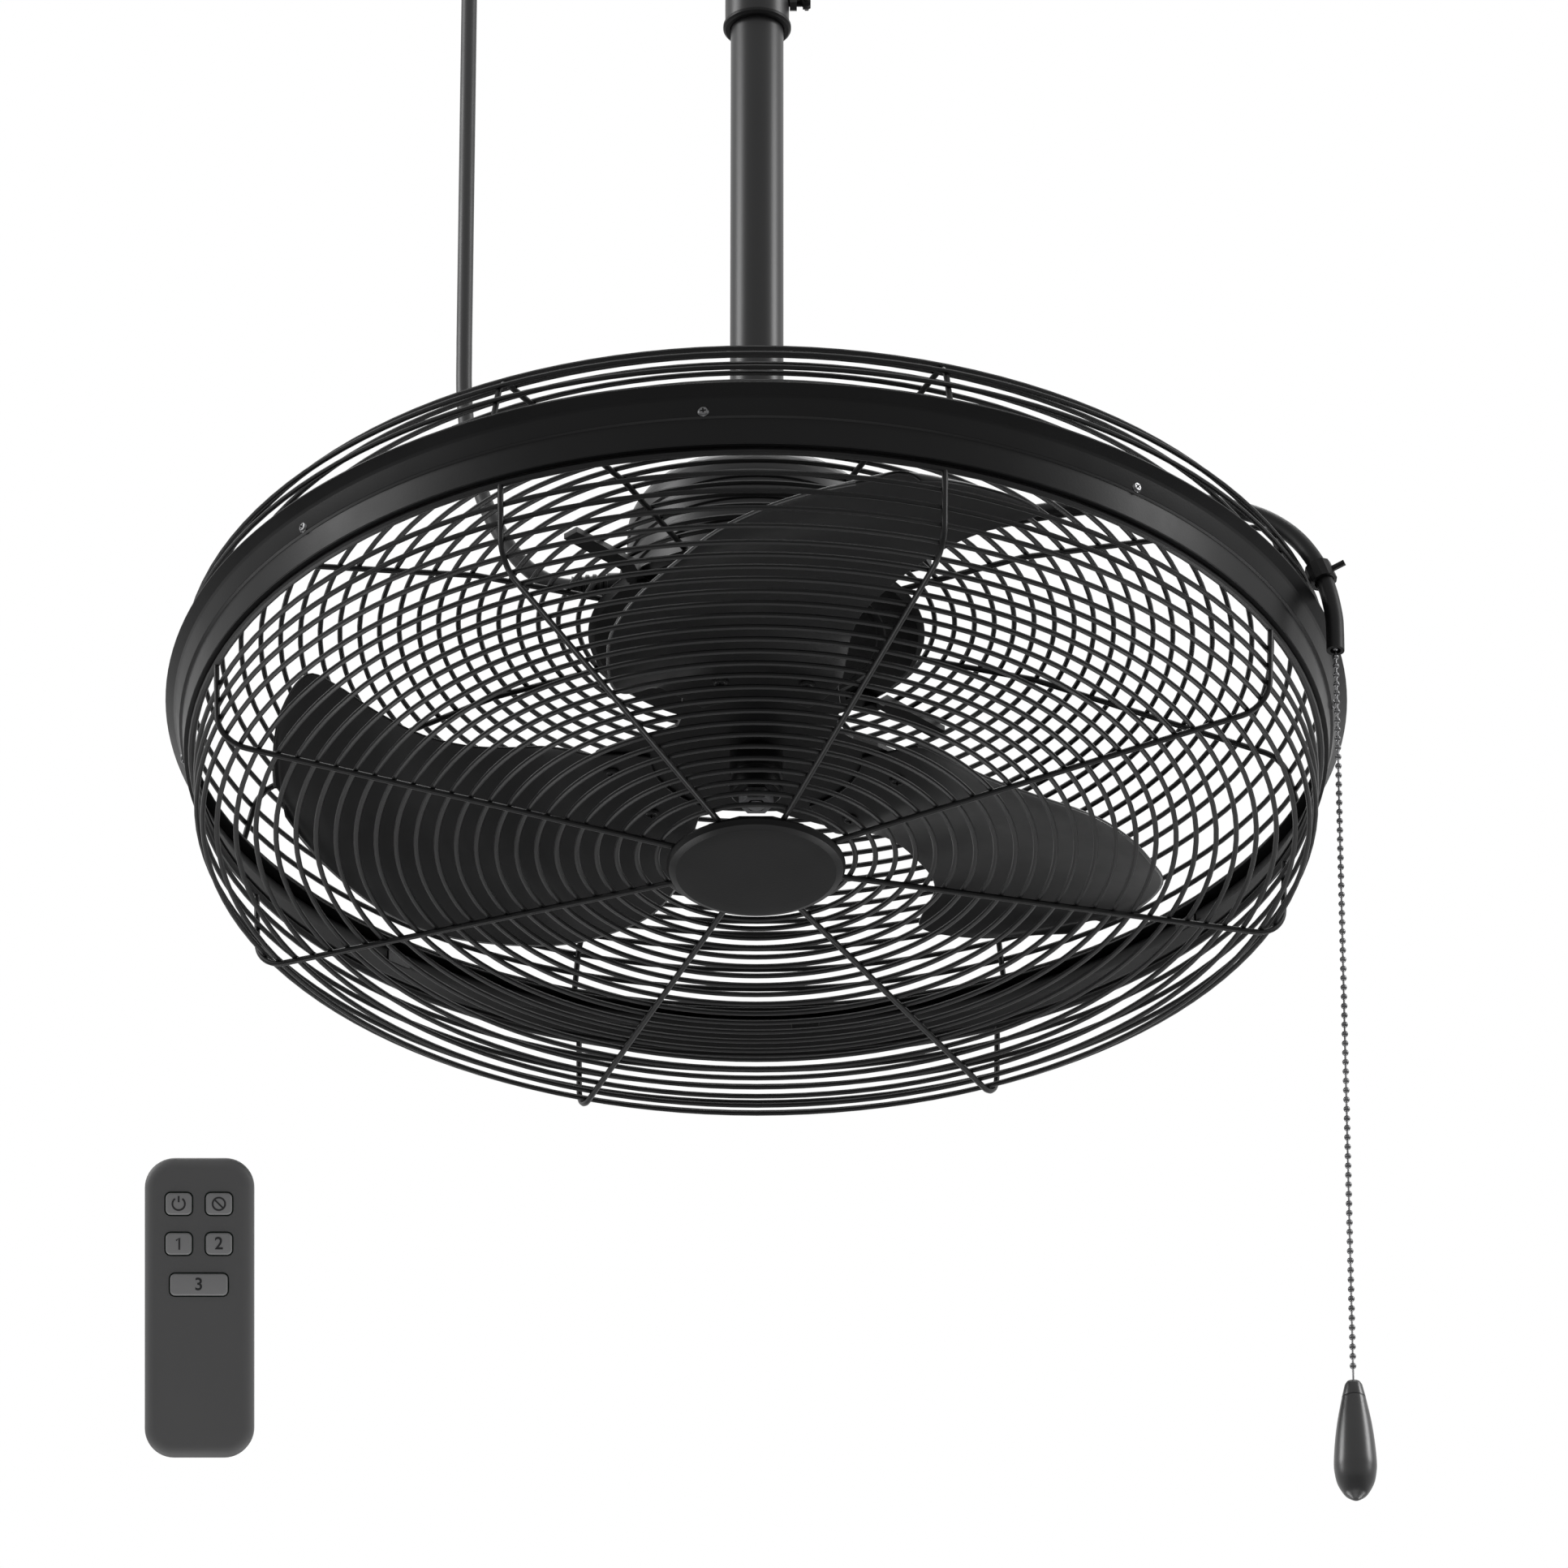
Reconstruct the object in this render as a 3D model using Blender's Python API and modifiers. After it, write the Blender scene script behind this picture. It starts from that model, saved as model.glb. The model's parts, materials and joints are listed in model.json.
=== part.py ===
"""Caged ceiling fan on a telescoping drop rod, with a pull chain, a power cord and a remote.

Metres, +Z up. The origin is the middle of the ceiling plate's top face, so the fan hangs
below it. -Y is the side that the photograph is taken from, and +X is its right.
Heights of the cage, motor and blades are given from the rim's middle plane (RIM_Z).
"""
import math

import bmesh
import bpy
from mathutils import Matrix, Vector

# Facets of round pieces
SMALL_STEPS = 12
ROUND_STEPS = 14
LARGE_STEPS = 18
RIM_STEPS = 40
INNER_RING_STEPS = 16
OUTER_RING_STEPS = 24
RIB_ARC_STEPS = 4
SHOULDER_STEPS = 3
WIRE_SIDES = 3
WIRE_FLAT = math.cos(math.pi / WIRE_SIDES)
BLADE_ACROSS_STEPS = 4
CORD_SPAN_STEPS = 2

# Clearances
SEAT = 0.0003
RUNNING = 0.0006
WELD = 0.00001
WELD_BITE = 0.0008

# Heights along the drop
CEILING_TO_RIM = 0.640
RIM_Z = -CEILING_TO_RIM
OUTER_TUBE_END = 0.424

# Ceiling fitting
PLATE_R = 0.055
PLATE_T = 0.005
PLATE_HOLE_R = 0.0026
PLATE_HOLE_CIRCLE_R = 0.042
SOCKET_WALL = 0.0055
SOCKET_DEPTH = 0.040
SOCKET_FLOOR = 0.003
TOP_BOLT_R = 0.0030
TOP_BOLT_Z = -0.028

# Drop rod
OUTER_TUBE_R = 0.0162
OUTER_TUBE_WALL = 0.0016
INNER_TUBE_R = 0.01335
INNER_TUBE_WALL = 0.0018
TUBE_LAP = 0.060
BUSH_FLANGE_R = 0.0172
BUSH_FLANGE_T = 0.0030
BUSH_SLEEVE = 0.008
LOCK_SCREW_R = 0.0021
LOCK_SCREW_RISE = 0.0140
LOCK_NUT_R = 0.0046
LOCK_NUT_T = 0.0036
LOCK_KNOB_R = 0.0034
LOCK_KNOB_T = 0.0040
LOCK_STEM_SHOWN = 0.0030

# Coupling between the rod and the motor
COUPLING_WALL = 0.0045
COUPLING_DEPTH = 0.036
COUPLING_FLOOR = 0.008
COUPLING_FLANGE_R = 0.030
COUPLING_FLANGE_T = 0.0045
COUPLING_PIN_R = 0.0026
COUPLING_PIN_RISE = 0.026
FLANGE_SCREW_R = 0.0018
FLANGE_SCREW_CIRCLE_R = 0.0245

# Motor
FRONT_PLATE_R = 0.083
FRONT_PLATE_Z = 0.0545
FRONT_PLATE_T = 0.0048
MOTOR_R = 0.064
MOTOR_TOP = 0.137
MOTOR_SHOULDER = 0.030
MOTOR_WALL = 0.0020
MOTOR_FLANGE_R = 0.0730
MOTOR_FLANGE_T = 0.0030
MOTOR_GROOVE = 0.0010
BEARING_R = 0.0110
BEARING_BORE_R = 0.0052
BEARING_T = 0.0070
BEARING_SEAT_WALL = 0.0032
SHAFT_R = 0.0046
STATOR_BORE_R = 0.0330
STATOR_H = 0.026
STATOR_Z = 0.074
WINDING_H = 0.007
ROTOR_GAP = 0.0006
BOARD_T = 0.0016
BOARD_SIZE = (0.050, 0.030)
CAPACITOR_R = 0.0075
CAPACITOR_L = 0.034
HOUSING_SCREW_R = 0.0017
HOUSING_SCREW_CIRCLE_R = 0.0685
SCREW_HEAD = 1.9
SUNK = 0.7

# Guard straps
STRAP_AZIMUTH = 225.0
STRAP_W = 0.0090
STRAP_T = 0.0030
STRAP_END_R = 0.128
STRAP_LAP = 0.016
STRAP_BEND = 0.005
STRAP_SCREW_R = 0.0018
STRAP_SCREW_FROM_EDGE = 0.0038

# Cage wire
RIB_COUNT = 8
RIB_AZIMUTH = 19.0
RIB_R = 0.0015
RING_R = 0.0013
EDGE_RING_R = 0.0018
RING_PITCH = 0.0110
CORNER_R = 0.016
INNER_RING_LIMIT = 0.130

# Rim hoop
RIM_R = 0.290
RIM_H = 0.026
RIM_LIP = 0.019
RIM_TOP_LIP = 0.009
RIM_LIP_TURN = 0.004
RIM_SHEET = 0.0012
RIM_BEAD = 0.0022
RIM_SCREW_COUNT = 8
RIM_SCREW_AZIMUTH = 265.0
RIM_SCREW_R = 0.0018
RIM_SCREW_Z = 0.004
RIM_CLIP_W = 0.014
RIM_CLIP_T = 0.0016
RIM_CLIP_H = 0.0070

# Rear guard, from the front plate to the rim
REAR_FLAT_R = 0.145
REAR_EDGE_R = RIM_R - 0.013
REAR_CORNER_Z = 0.0420
REAR_WALL_RINGS = 3

# Front guard, from the badge to the rim
FRONT_BADGE_R = 0.0437
FRONT_FACE_Z = -0.0745
FRONT_EDGE_R = RIM_R - 0.015
FRONT_CORNER_Z = -0.0620
FRONT_WALL_RINGS = 4
BADGE_T = 0.0050
BADGE_BEVEL = 0.0025
BADGE_BACK_R = 0.0375
BADGE_BACK_T = 0.0020
BADGE_SCREW_R = 0.0025
FRONT_RIB_START_R = 0.0240

# Blades and hub
BLADE_COUNT = 3
BLADE_AZIMUTH = 0.0
BLADE_T = 0.0016
BLADE_Z = -0.0140
BLADE_CAMBER = 0.0050
BLADE_CAMBER_FROM = 0.26
BLADE_ROOT_R = 0.052
BLADE_FLAT_R = 0.080
BLADE_TIP_R = 0.242
# The flat root: radius, then the azimuths of the blade's two edges
BLADE_ROOT = ((BLADE_ROOT_R, 0, 60), (0.066, -4, 62), (BLADE_FLAT_R, -7, 61))
# From the flat root to the tip: share of the way, the two edges' azimuths, and their heights over the root
BLADE_FORM = (
    (0.074, -8.0, 58.5, -0.0075, 0.0055), (0.160, -7.2, 56.0, -0.0165, 0.0105),
    (0.259, -4.6, 54.8, -0.0228, 0.0121), (0.383, 0.0, 55.6, -0.0250, 0.0131),
    (0.519, 5.0, 57.8, -0.0247, 0.0165), (0.654, 11.8, 61.6, -0.0226, 0.0225),
    (0.778, 19.0, 66.0, -0.0195, 0.0273), (0.877, 25.3, 68.0, -0.0125, 0.0280),
    (0.944, 33.0, 62.0, -0.0035, 0.0222), (0.981, 39.5, 54.0, 0.0030, 0.0160),
    (1.000, 44.0, 49.0, 0.0070, 0.0105),
)
HUB_R = 0.0130
HUB_TOP = 0.012
HUB_BOTTOM = -0.036
HUB_PLATE_R = 0.046
HUB_ARM_R = BLADE_FLAT_R - 0.001
HUB_ARM_HALF = 27.0
HUB_PLATE_T = 0.0025
BLADE_SCREW_R = 0.0020
BLADE_SCREW_RADIUS = BLADE_FLAT_R - 0.008
BLADE_SCREW_ANGLES = (16.0, 50.0)
HUB_NUT_R = 0.0085
HUB_NUT_T = 0.0060

# Chain guide and pull chain
CHAIN_AZIMUTH = -20.0
GUIDE_R = 0.0044
GUIDE_BORE_R = 0.0027
GUIDE_START_R = 0.0875
GUIDE_END_R = RIM_R + 0.0085
# Centre line of the guide: share of the way from its start to its end radius, and height above the rim
GUIDE_ROUTE = (
    (0.0000, 0.0960), (0.1303, 0.0965), (0.3199, 0.0955), (0.5095, 0.0915), (0.6517, 0.0850),
    (0.7607, 0.0755), (0.8412, 0.0655), (0.9076, 0.0520), (0.9550, 0.0360), (0.9834, 0.0190),
    (0.9976, 0.0030), (1.0000, -0.0070), (1.0000, -0.0180),
)
SWITCH_SIZE = (0.030, 0.022, 0.020)
CHAIN_BEAD_R = 0.0016
CHAIN_DROP = 0.407
CHAIN_IN_GUIDE = 0.0085
PULL_R = 0.0101
PULL_L = 0.0540
# Shares of PULL_R and PULL_L, from the drop's top
PULL_FORM = (
    (0.0, 0.0), (0.22, 0.0), (0.30, 0.08), (0.45, 0.22), (0.68, 0.42), (0.90, 0.62), (1.0, 0.78),
    (0.95, 0.90), (0.80, 0.96), (0.45, 1.0), (0.0, 1.0),
)
BELL_R = 0.0030
BELL_L = 0.0090
CLIP_PLATE_T = 0.0016
CLIP_W = 0.010
CLIP_EASE = 0.0002

# Power cord
CORD_R = 0.0040
CORD_X = -0.1460
CORD_ENTRY_Z = 0.0850
# The cord's points, as (x, height above the rim), from the motor up to where it runs straight
CORD_ROUTE = (
    (-0.0900, 0.0850), (-0.1020, 0.0880), (-0.1140, 0.0970), (-0.1250, 0.1130),
    (-0.1350, 0.1360), (-0.1420, 0.1640), (-0.1455, 0.1960), (CORD_X, 0.2300),
)
RELIEF_L = 0.027
RELIEF_FLANGE_R = 0.0085
RELIEF_FLANGE_T = 0.0030
RELIEF_TIP_R = 0.0054
CUP_R = 0.0170
CUP_H = 0.0240
CUP_WALL = 0.0020
CUP_NOSE_R = 0.0066
CUP_NOSE_L = 0.0120

# Remote
REMOTE_W = 0.052
REMOTE_L = 0.143
REMOTE_T = 0.019
REMOTE_CORNER = 0.014
REMOTE_SHELL = 0.0018
REMOTE_AT = (-0.266, 0.0, -0.326)
REMOTE_TILT = 32.0
BUTTON_W = 0.0125
BUTTON_H = 0.0104
BUTTON_WIDE = 0.0275
BUTTON_CORNER = 0.0024
BUTTON_PROUD = 0.0012
BUTTON_LENGTH = 0.0052
BUTTON_GAP = 0.0004
BUTTON_TRAVEL = 0.0006
BUTTON_X = 0.0096
BUTTON_ROWS = (0.0499, 0.0308, 0.0113)
DOOR_W = 0.030
DOOR_L = 0.046
DOOR_T = 0.0016
DOOR_CORNER = 0.0017
DOOR_Y = -0.036
CELL_R = 0.0052
CELL_L = 0.0440
REMOTE_BOARD_EDGE = 0.0020


def start_scene():
    for old in list(bpy.data.objects):
        bpy.data.objects.remove(old, do_unlink=True)
    fan = bpy.data.collections.new("swag_fan")
    cutters = bpy.data.collections.new("cutters")
    bpy.context.scene.collection.children.link(fan)
    bpy.context.scene.collection.children.link(cutters)
    return fan, cutters


FAN, CUTTERS = start_scene()


def material(name, colour, roughness, metallic):
    made = bpy.data.materials.new(name)
    made.use_nodes = True
    shader = made.node_tree.nodes["Principled BSDF"]
    shader.inputs["Base Color"].default_value = (*colour, 1.0)
    shader.inputs["Roughness"].default_value = roughness
    shader.inputs["Metallic"].default_value = metallic
    return made


BLACK_PAINT = material("black_paint", (0.020, 0.020, 0.021), 0.45, 0.0)
WIRE_PAINT = material("wire_paint", (0.022, 0.022, 0.023), 0.40, 0.0)
BLADE_PAINT = material("blade_paint", (0.026, 0.026, 0.028), 0.50, 0.0)
ROD_PAINT = material("rod_paint", (0.060, 0.060, 0.062), 0.35, 0.3)
MOTOR_PAINT = material("motor_paint", (0.070, 0.070, 0.072), 0.45, 0.2)
ZINC = material("zinc", (0.45, 0.45, 0.46), 0.35, 1.0)
STEEL = material("steel", (0.50, 0.50, 0.52), 0.30, 1.0)
LAMINATION = material("lamination", (0.25, 0.25, 0.27), 0.50, 0.8)
COPPER = material("copper", (0.60, 0.28, 0.14), 0.40, 1.0)
BLACK_PLASTIC = material("black_plastic", (0.018, 0.018, 0.019), 0.50, 0.0)
CORD_RUBBER = material("cord_rubber", (0.090, 0.090, 0.092), 0.55, 0.0)
CHAIN_METAL = material("chain_metal", (0.22, 0.22, 0.22), 0.35, 1.0)
PULL_LACQUER = material("pull_lacquer", (0.025, 0.025, 0.027), 0.25, 0.0)
REMOTE_SHELL_PLASTIC = material("remote_shell_plastic", (0.062, 0.062, 0.063), 0.50, 0.0)
BUTTON_RUBBER = material("button_rubber", (0.150, 0.150, 0.152), 0.60, 0.0)
CIRCUIT = material("circuit", (0.02, 0.12, 0.05), 0.50, 0.0)
CELL_WRAP = material("cell_wrap", (0.30, 0.30, 0.32), 0.40, 0.5)


def above_rim(z):
    return RIM_Z + z


def polar(radius, degrees, z=0.0):
    turn = math.radians(degrees)
    return Vector((radius * math.cos(turn), radius * math.sin(turn), z))


def add(name, mesh, paint, collection=None):
    made = bpy.data.objects.new(name, mesh)
    (collection or FAN).objects.link(made)
    if paint is not None:
        made.data.materials.append(paint)
    return made


def bake(source, collection=None):
    """Makes an object's curve or modifiers one welded mesh that faces outwards."""
    bpy.context.view_layer.update()
    depsgraph = bpy.context.evaluated_depsgraph_get()
    mesh = bpy.data.meshes.new_from_object(source.evaluated_get(depsgraph))
    shell = bmesh.new()
    shell.from_mesh(mesh)
    bmesh.ops.remove_doubles(shell, verts=shell.verts, dist=WELD)
    bmesh.ops.recalc_face_normals(shell, faces=shell.faces)
    shell.to_mesh(mesh)
    shell.free()
    name = source.name
    place = source.matrix_world.copy()
    paint = source.data.materials[0] if source.data.materials else None
    bpy.data.objects.remove(source, do_unlink=True)
    mesh.materials.clear()
    made = add(name, mesh, paint, collection)
    made.name = name
    made.matrix_world = place
    return made


def turned(name, profile, steps, paint, place=None, closed=False, collection=None):
    """Turns (radius, height) points about Z. They run down the outer side, top to bottom."""
    outline = profile if isinstance(profile[0][0], (list, tuple)) else [profile]
    points = []
    edges = []
    for loop in outline:
        first = len(points)
        points += [(radius, 0.0, height) for radius, height in loop]
        edges += [(first + i, first + i + 1) for i in range(len(loop) - 1)]
        if closed:
            edges.append((len(points) - 1, first))
    mesh = bpy.data.meshes.new(name)
    mesh.from_pydata(points, edges, [])
    made = add(name, mesh, paint, collection)
    screw = made.modifiers.new("turn", "SCREW")
    screw.axis = "Z"
    screw.steps = steps
    screw.render_steps = steps
    screw.use_merge_vertices = True
    screw.merge_threshold = WELD
    made = bake(made, collection)
    if place is not None:
        made.matrix_world = place
    return made


def clear_of(radius, steps):
    """Corner radius of a faceted hole whose flats stay clear of a round piece."""
    return (radius + SEAT) / math.cos(math.pi / steps)


def wire(name, points, radius, paint, resolution=0, cyclic=False, collection=None):
    """A round wire or tube along the points, as one closed mesh."""
    curve = bpy.data.curves.new(name, "CURVE")
    curve.dimensions = "3D"
    curve.bevel_depth = radius
    curve.bevel_resolution = resolution
    curve.use_fill_caps = True
    spline = curve.splines.new("POLY")
    spline.points.add(len(points) - 1)
    for slot, point in zip(spline.points, points):
        slot.co = (*point, 1.0)
    spline.use_cyclic_u = cyclic
    curve.materials.append(paint)
    made = bpy.data.objects.new(name, curve)
    (collection or FAN).objects.link(made)
    return bake(made, collection)


def sheet_of(name, outline, thickness, paint, place=None, holes=(), collection=None):
    """A flat plate centred on its own XY plane, from a closed outline and round holes."""
    curve = bpy.data.curves.new(name, "CURVE")
    curve.dimensions = "2D"
    curve.fill_mode = "BOTH"
    curve.extrude = thickness / 2
    for loop in [outline, *holes]:
        spline = curve.splines.new("POLY")
        spline.points.add(len(loop) - 1)
        for slot, (x, y) in zip(spline.points, loop):
            slot.co = (x, y, 0.0, 1.0)
        spline.use_cyclic_u = True
    curve.materials.append(paint)
    made = bpy.data.objects.new(name, curve)
    (collection or FAN).objects.link(made)
    made = bake(made, collection)
    if place is not None:
        made.matrix_world = place
    return made


def circle_points(radius, count, centre=(0.0, 0.0)):
    turns = [2 * math.pi * i / count for i in range(count)]
    return [(centre[0] + radius * math.cos(t), centre[1] + radius * math.sin(t)) for t in turns]


def rounded_rectangle(width, height, corner, steps=4, centre=(0.0, 0.0)):
    points = []
    for quarter, (sx, sy) in enumerate([(1, 1), (-1, 1), (-1, -1), (1, -1)]):
        middle = Vector((sx * (width / 2 - corner), sy * (height / 2 - corner)))
        for i in range(steps + 1):
            turn = math.pi / 2 * (quarter + i / steps)
            points.append((centre[0] + middle.x + corner * math.cos(turn),
                           centre[1] + middle.y + corner * math.sin(turn)))
    return points


def box(name, size, centre, paint, turn=None, collection=None):
    mesh = bpy.data.meshes.new(name)
    shell = bmesh.new()
    bmesh.ops.create_cube(shell, size=1.0)
    bmesh.ops.scale(shell, vec=size, verts=shell.verts)
    shell.to_mesh(mesh)
    shell.free()
    made = add(name, mesh, paint, collection)
    made.matrix_world = Matrix.Translation(centre) @ (turn or Matrix())
    return made


def rod(name, radius, start, end, paint, segments=16, collection=None):
    """A plain cylinder from one point to another."""
    start = Vector(start)
    end = Vector(end)
    mesh = bpy.data.meshes.new(name)
    shell = bmesh.new()
    bmesh.ops.create_cone(shell, cap_ends=True, segments=segments,
                          radius1=radius, radius2=radius, depth=(end - start).length)
    shell.to_mesh(mesh)
    shell.free()
    made = add(name, mesh, paint, collection)
    made.matrix_world = pointing(end - start, (start + end) / 2)
    return made


def pointing(direction, at=(0.0, 0.0, 0.0)):
    """A placement whose Z runs along the direction."""
    turn = Vector((0, 0, 1)).rotation_difference(Vector(direction)).to_matrix().to_4x4()
    return Matrix.Translation(Vector(at)) @ turn


def apply_boolean(target, other, operation):
    change = target.modifiers.new("boolean", "BOOLEAN")
    change.operation = operation
    change.solver = "EXACT"
    change.object = other
    return bake(target)


def cut(target, cutter):
    cutter.hide_render = True
    cutter.display_type = "WIRE"
    made = apply_boolean(target, cutter, "DIFFERENCE")
    bpy.data.objects.remove(cutter, do_unlink=True)
    return made


def cutter_rod(radius, start, end, segments=16):
    return rod("cutter", radius, start, end, None, segments, CUTTERS)


def group(name, pieces, paint):
    """Several solids as one object, each still its own closed shell."""
    shell = bmesh.new()
    for piece in pieces:
        mesh = piece.data.copy()
        mesh.transform(piece.matrix_world)
        shell.from_mesh(mesh)
        bpy.data.meshes.remove(mesh)
        bpy.data.objects.remove(piece, do_unlink=True)
    mesh = bpy.data.meshes.new(name)
    shell.to_mesh(mesh)
    shell.free()
    mesh.materials.clear()
    return add(name, mesh, paint)


def fuse(name, pieces, paint):
    """Several overlapping solids as one."""
    first, *rest = pieces
    others = group(name + "_others", rest, paint)
    made = apply_boolean(first, others, "UNION")
    bpy.data.objects.remove(others, do_unlink=True)
    made.name = name
    return made


def screw_head(radius, at, direction, sunk, paint):
    """A plain round head that is fused with what it fastens."""
    direction = Vector(direction).normalized()
    rise = radius * 1.1
    return rod("screw_head", radius * SCREW_HEAD, at + direction * sunk, at - direction * rise, paint, 8)


def screw(name, radius, head_at, direction, length, paint, head_t=None, segments=10):
    """A pan-head screw: the head's underside is at head_at, the shank runs along direction."""
    head = radius * SCREW_HEAD
    rise = head_t or radius * 1.1
    profile = [(0, rise), (head * 0.7, rise), (head, rise * 0.4), (head, 0),
               (radius, 0), (radius, -length), (0, -length)]
    return turned(name, profile, segments, paint, pointing(-Vector(direction), head_at))


def make_ceiling_fitting():
    """The plate and socket that hold the drop rod, and the cup that holds the cord."""
    bore = OUTER_TUBE_R + SEAT
    boss = bore + SOCKET_WALL
    floor = -PLATE_T - SOCKET_FLOOR
    profile = [(0, 0), (PLATE_R, 0), (PLATE_R, -PLATE_T), (boss, -PLATE_T),
               (boss, -PLATE_T - SOCKET_DEPTH), (bore, -PLATE_T - SOCKET_DEPTH),
               (bore, floor), (0, floor)]
    plate = turned("ceiling_plate", profile, ROUND_STEPS, BLACK_PAINT)
    holes = []
    for i in range(4):
        at = polar(PLATE_HOLE_CIRCLE_R, 45 + 90 * i)
        low = at + Vector((0, 0, -PLATE_T * 2))
        holes.append(cutter_rod(PLATE_HOLE_R, low, at + Vector((0, 0, PLATE_T)), 8))
    reach = boss * 2
    holes.append(cutter_rod(TOP_BOLT_R + SEAT, (-reach, 0, TOP_BOLT_Z), (reach, 0, TOP_BOLT_Z), 10))
    cut(plate, group("plate_holes", holes, None))

    bolt_head_t = TOP_BOLT_R * 1.4
    screw("top_bolt", TOP_BOLT_R, (boss + SEAT, 0, TOP_BOLT_Z), (-1, 0, 0),
          2 * boss + TOP_BOLT_R * 3.2, ZINC, bolt_head_t, 12)
    nut_bore = clear_of(TOP_BOLT_R, 6)
    nut_w = TOP_BOLT_R * 2.4
    nut = turned("top_nut", [(nut_bore, nut_w), (TOP_BOLT_R * 1.9, nut_w), (TOP_BOLT_R * 1.9, 0),
                             (nut_bore, 0)], 6, ZINC,
                 pointing((-1, 0, 0), (-boss - SEAT, 0, TOP_BOLT_Z)), closed=True)
    nut.name = "top_nut"

    cup = [(CUP_R, 0), (CUP_R, -CUP_H + CUP_R / 2), (CUP_R * 0.7, -CUP_H),
           (CUP_NOSE_R, -CUP_H - CUP_NOSE_L * 0.3), (CUP_NOSE_R * 0.85, -CUP_H - CUP_NOSE_L),
           (CORD_R + SEAT, -CUP_H - CUP_NOSE_L), (CORD_R + SEAT, -CUP_H + CUP_WALL),
           (CUP_R * 0.7, -CUP_H + CUP_WALL), (CUP_R - CUP_WALL, -CUP_H + CUP_R / 2), (CUP_R - CUP_WALL, 0)]
    turned("cord_ceiling_cup", cup, SMALL_STEPS, BLACK_PLASTIC, Matrix.Translation((CORD_X, 0, 0)),
           closed=True)


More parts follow.
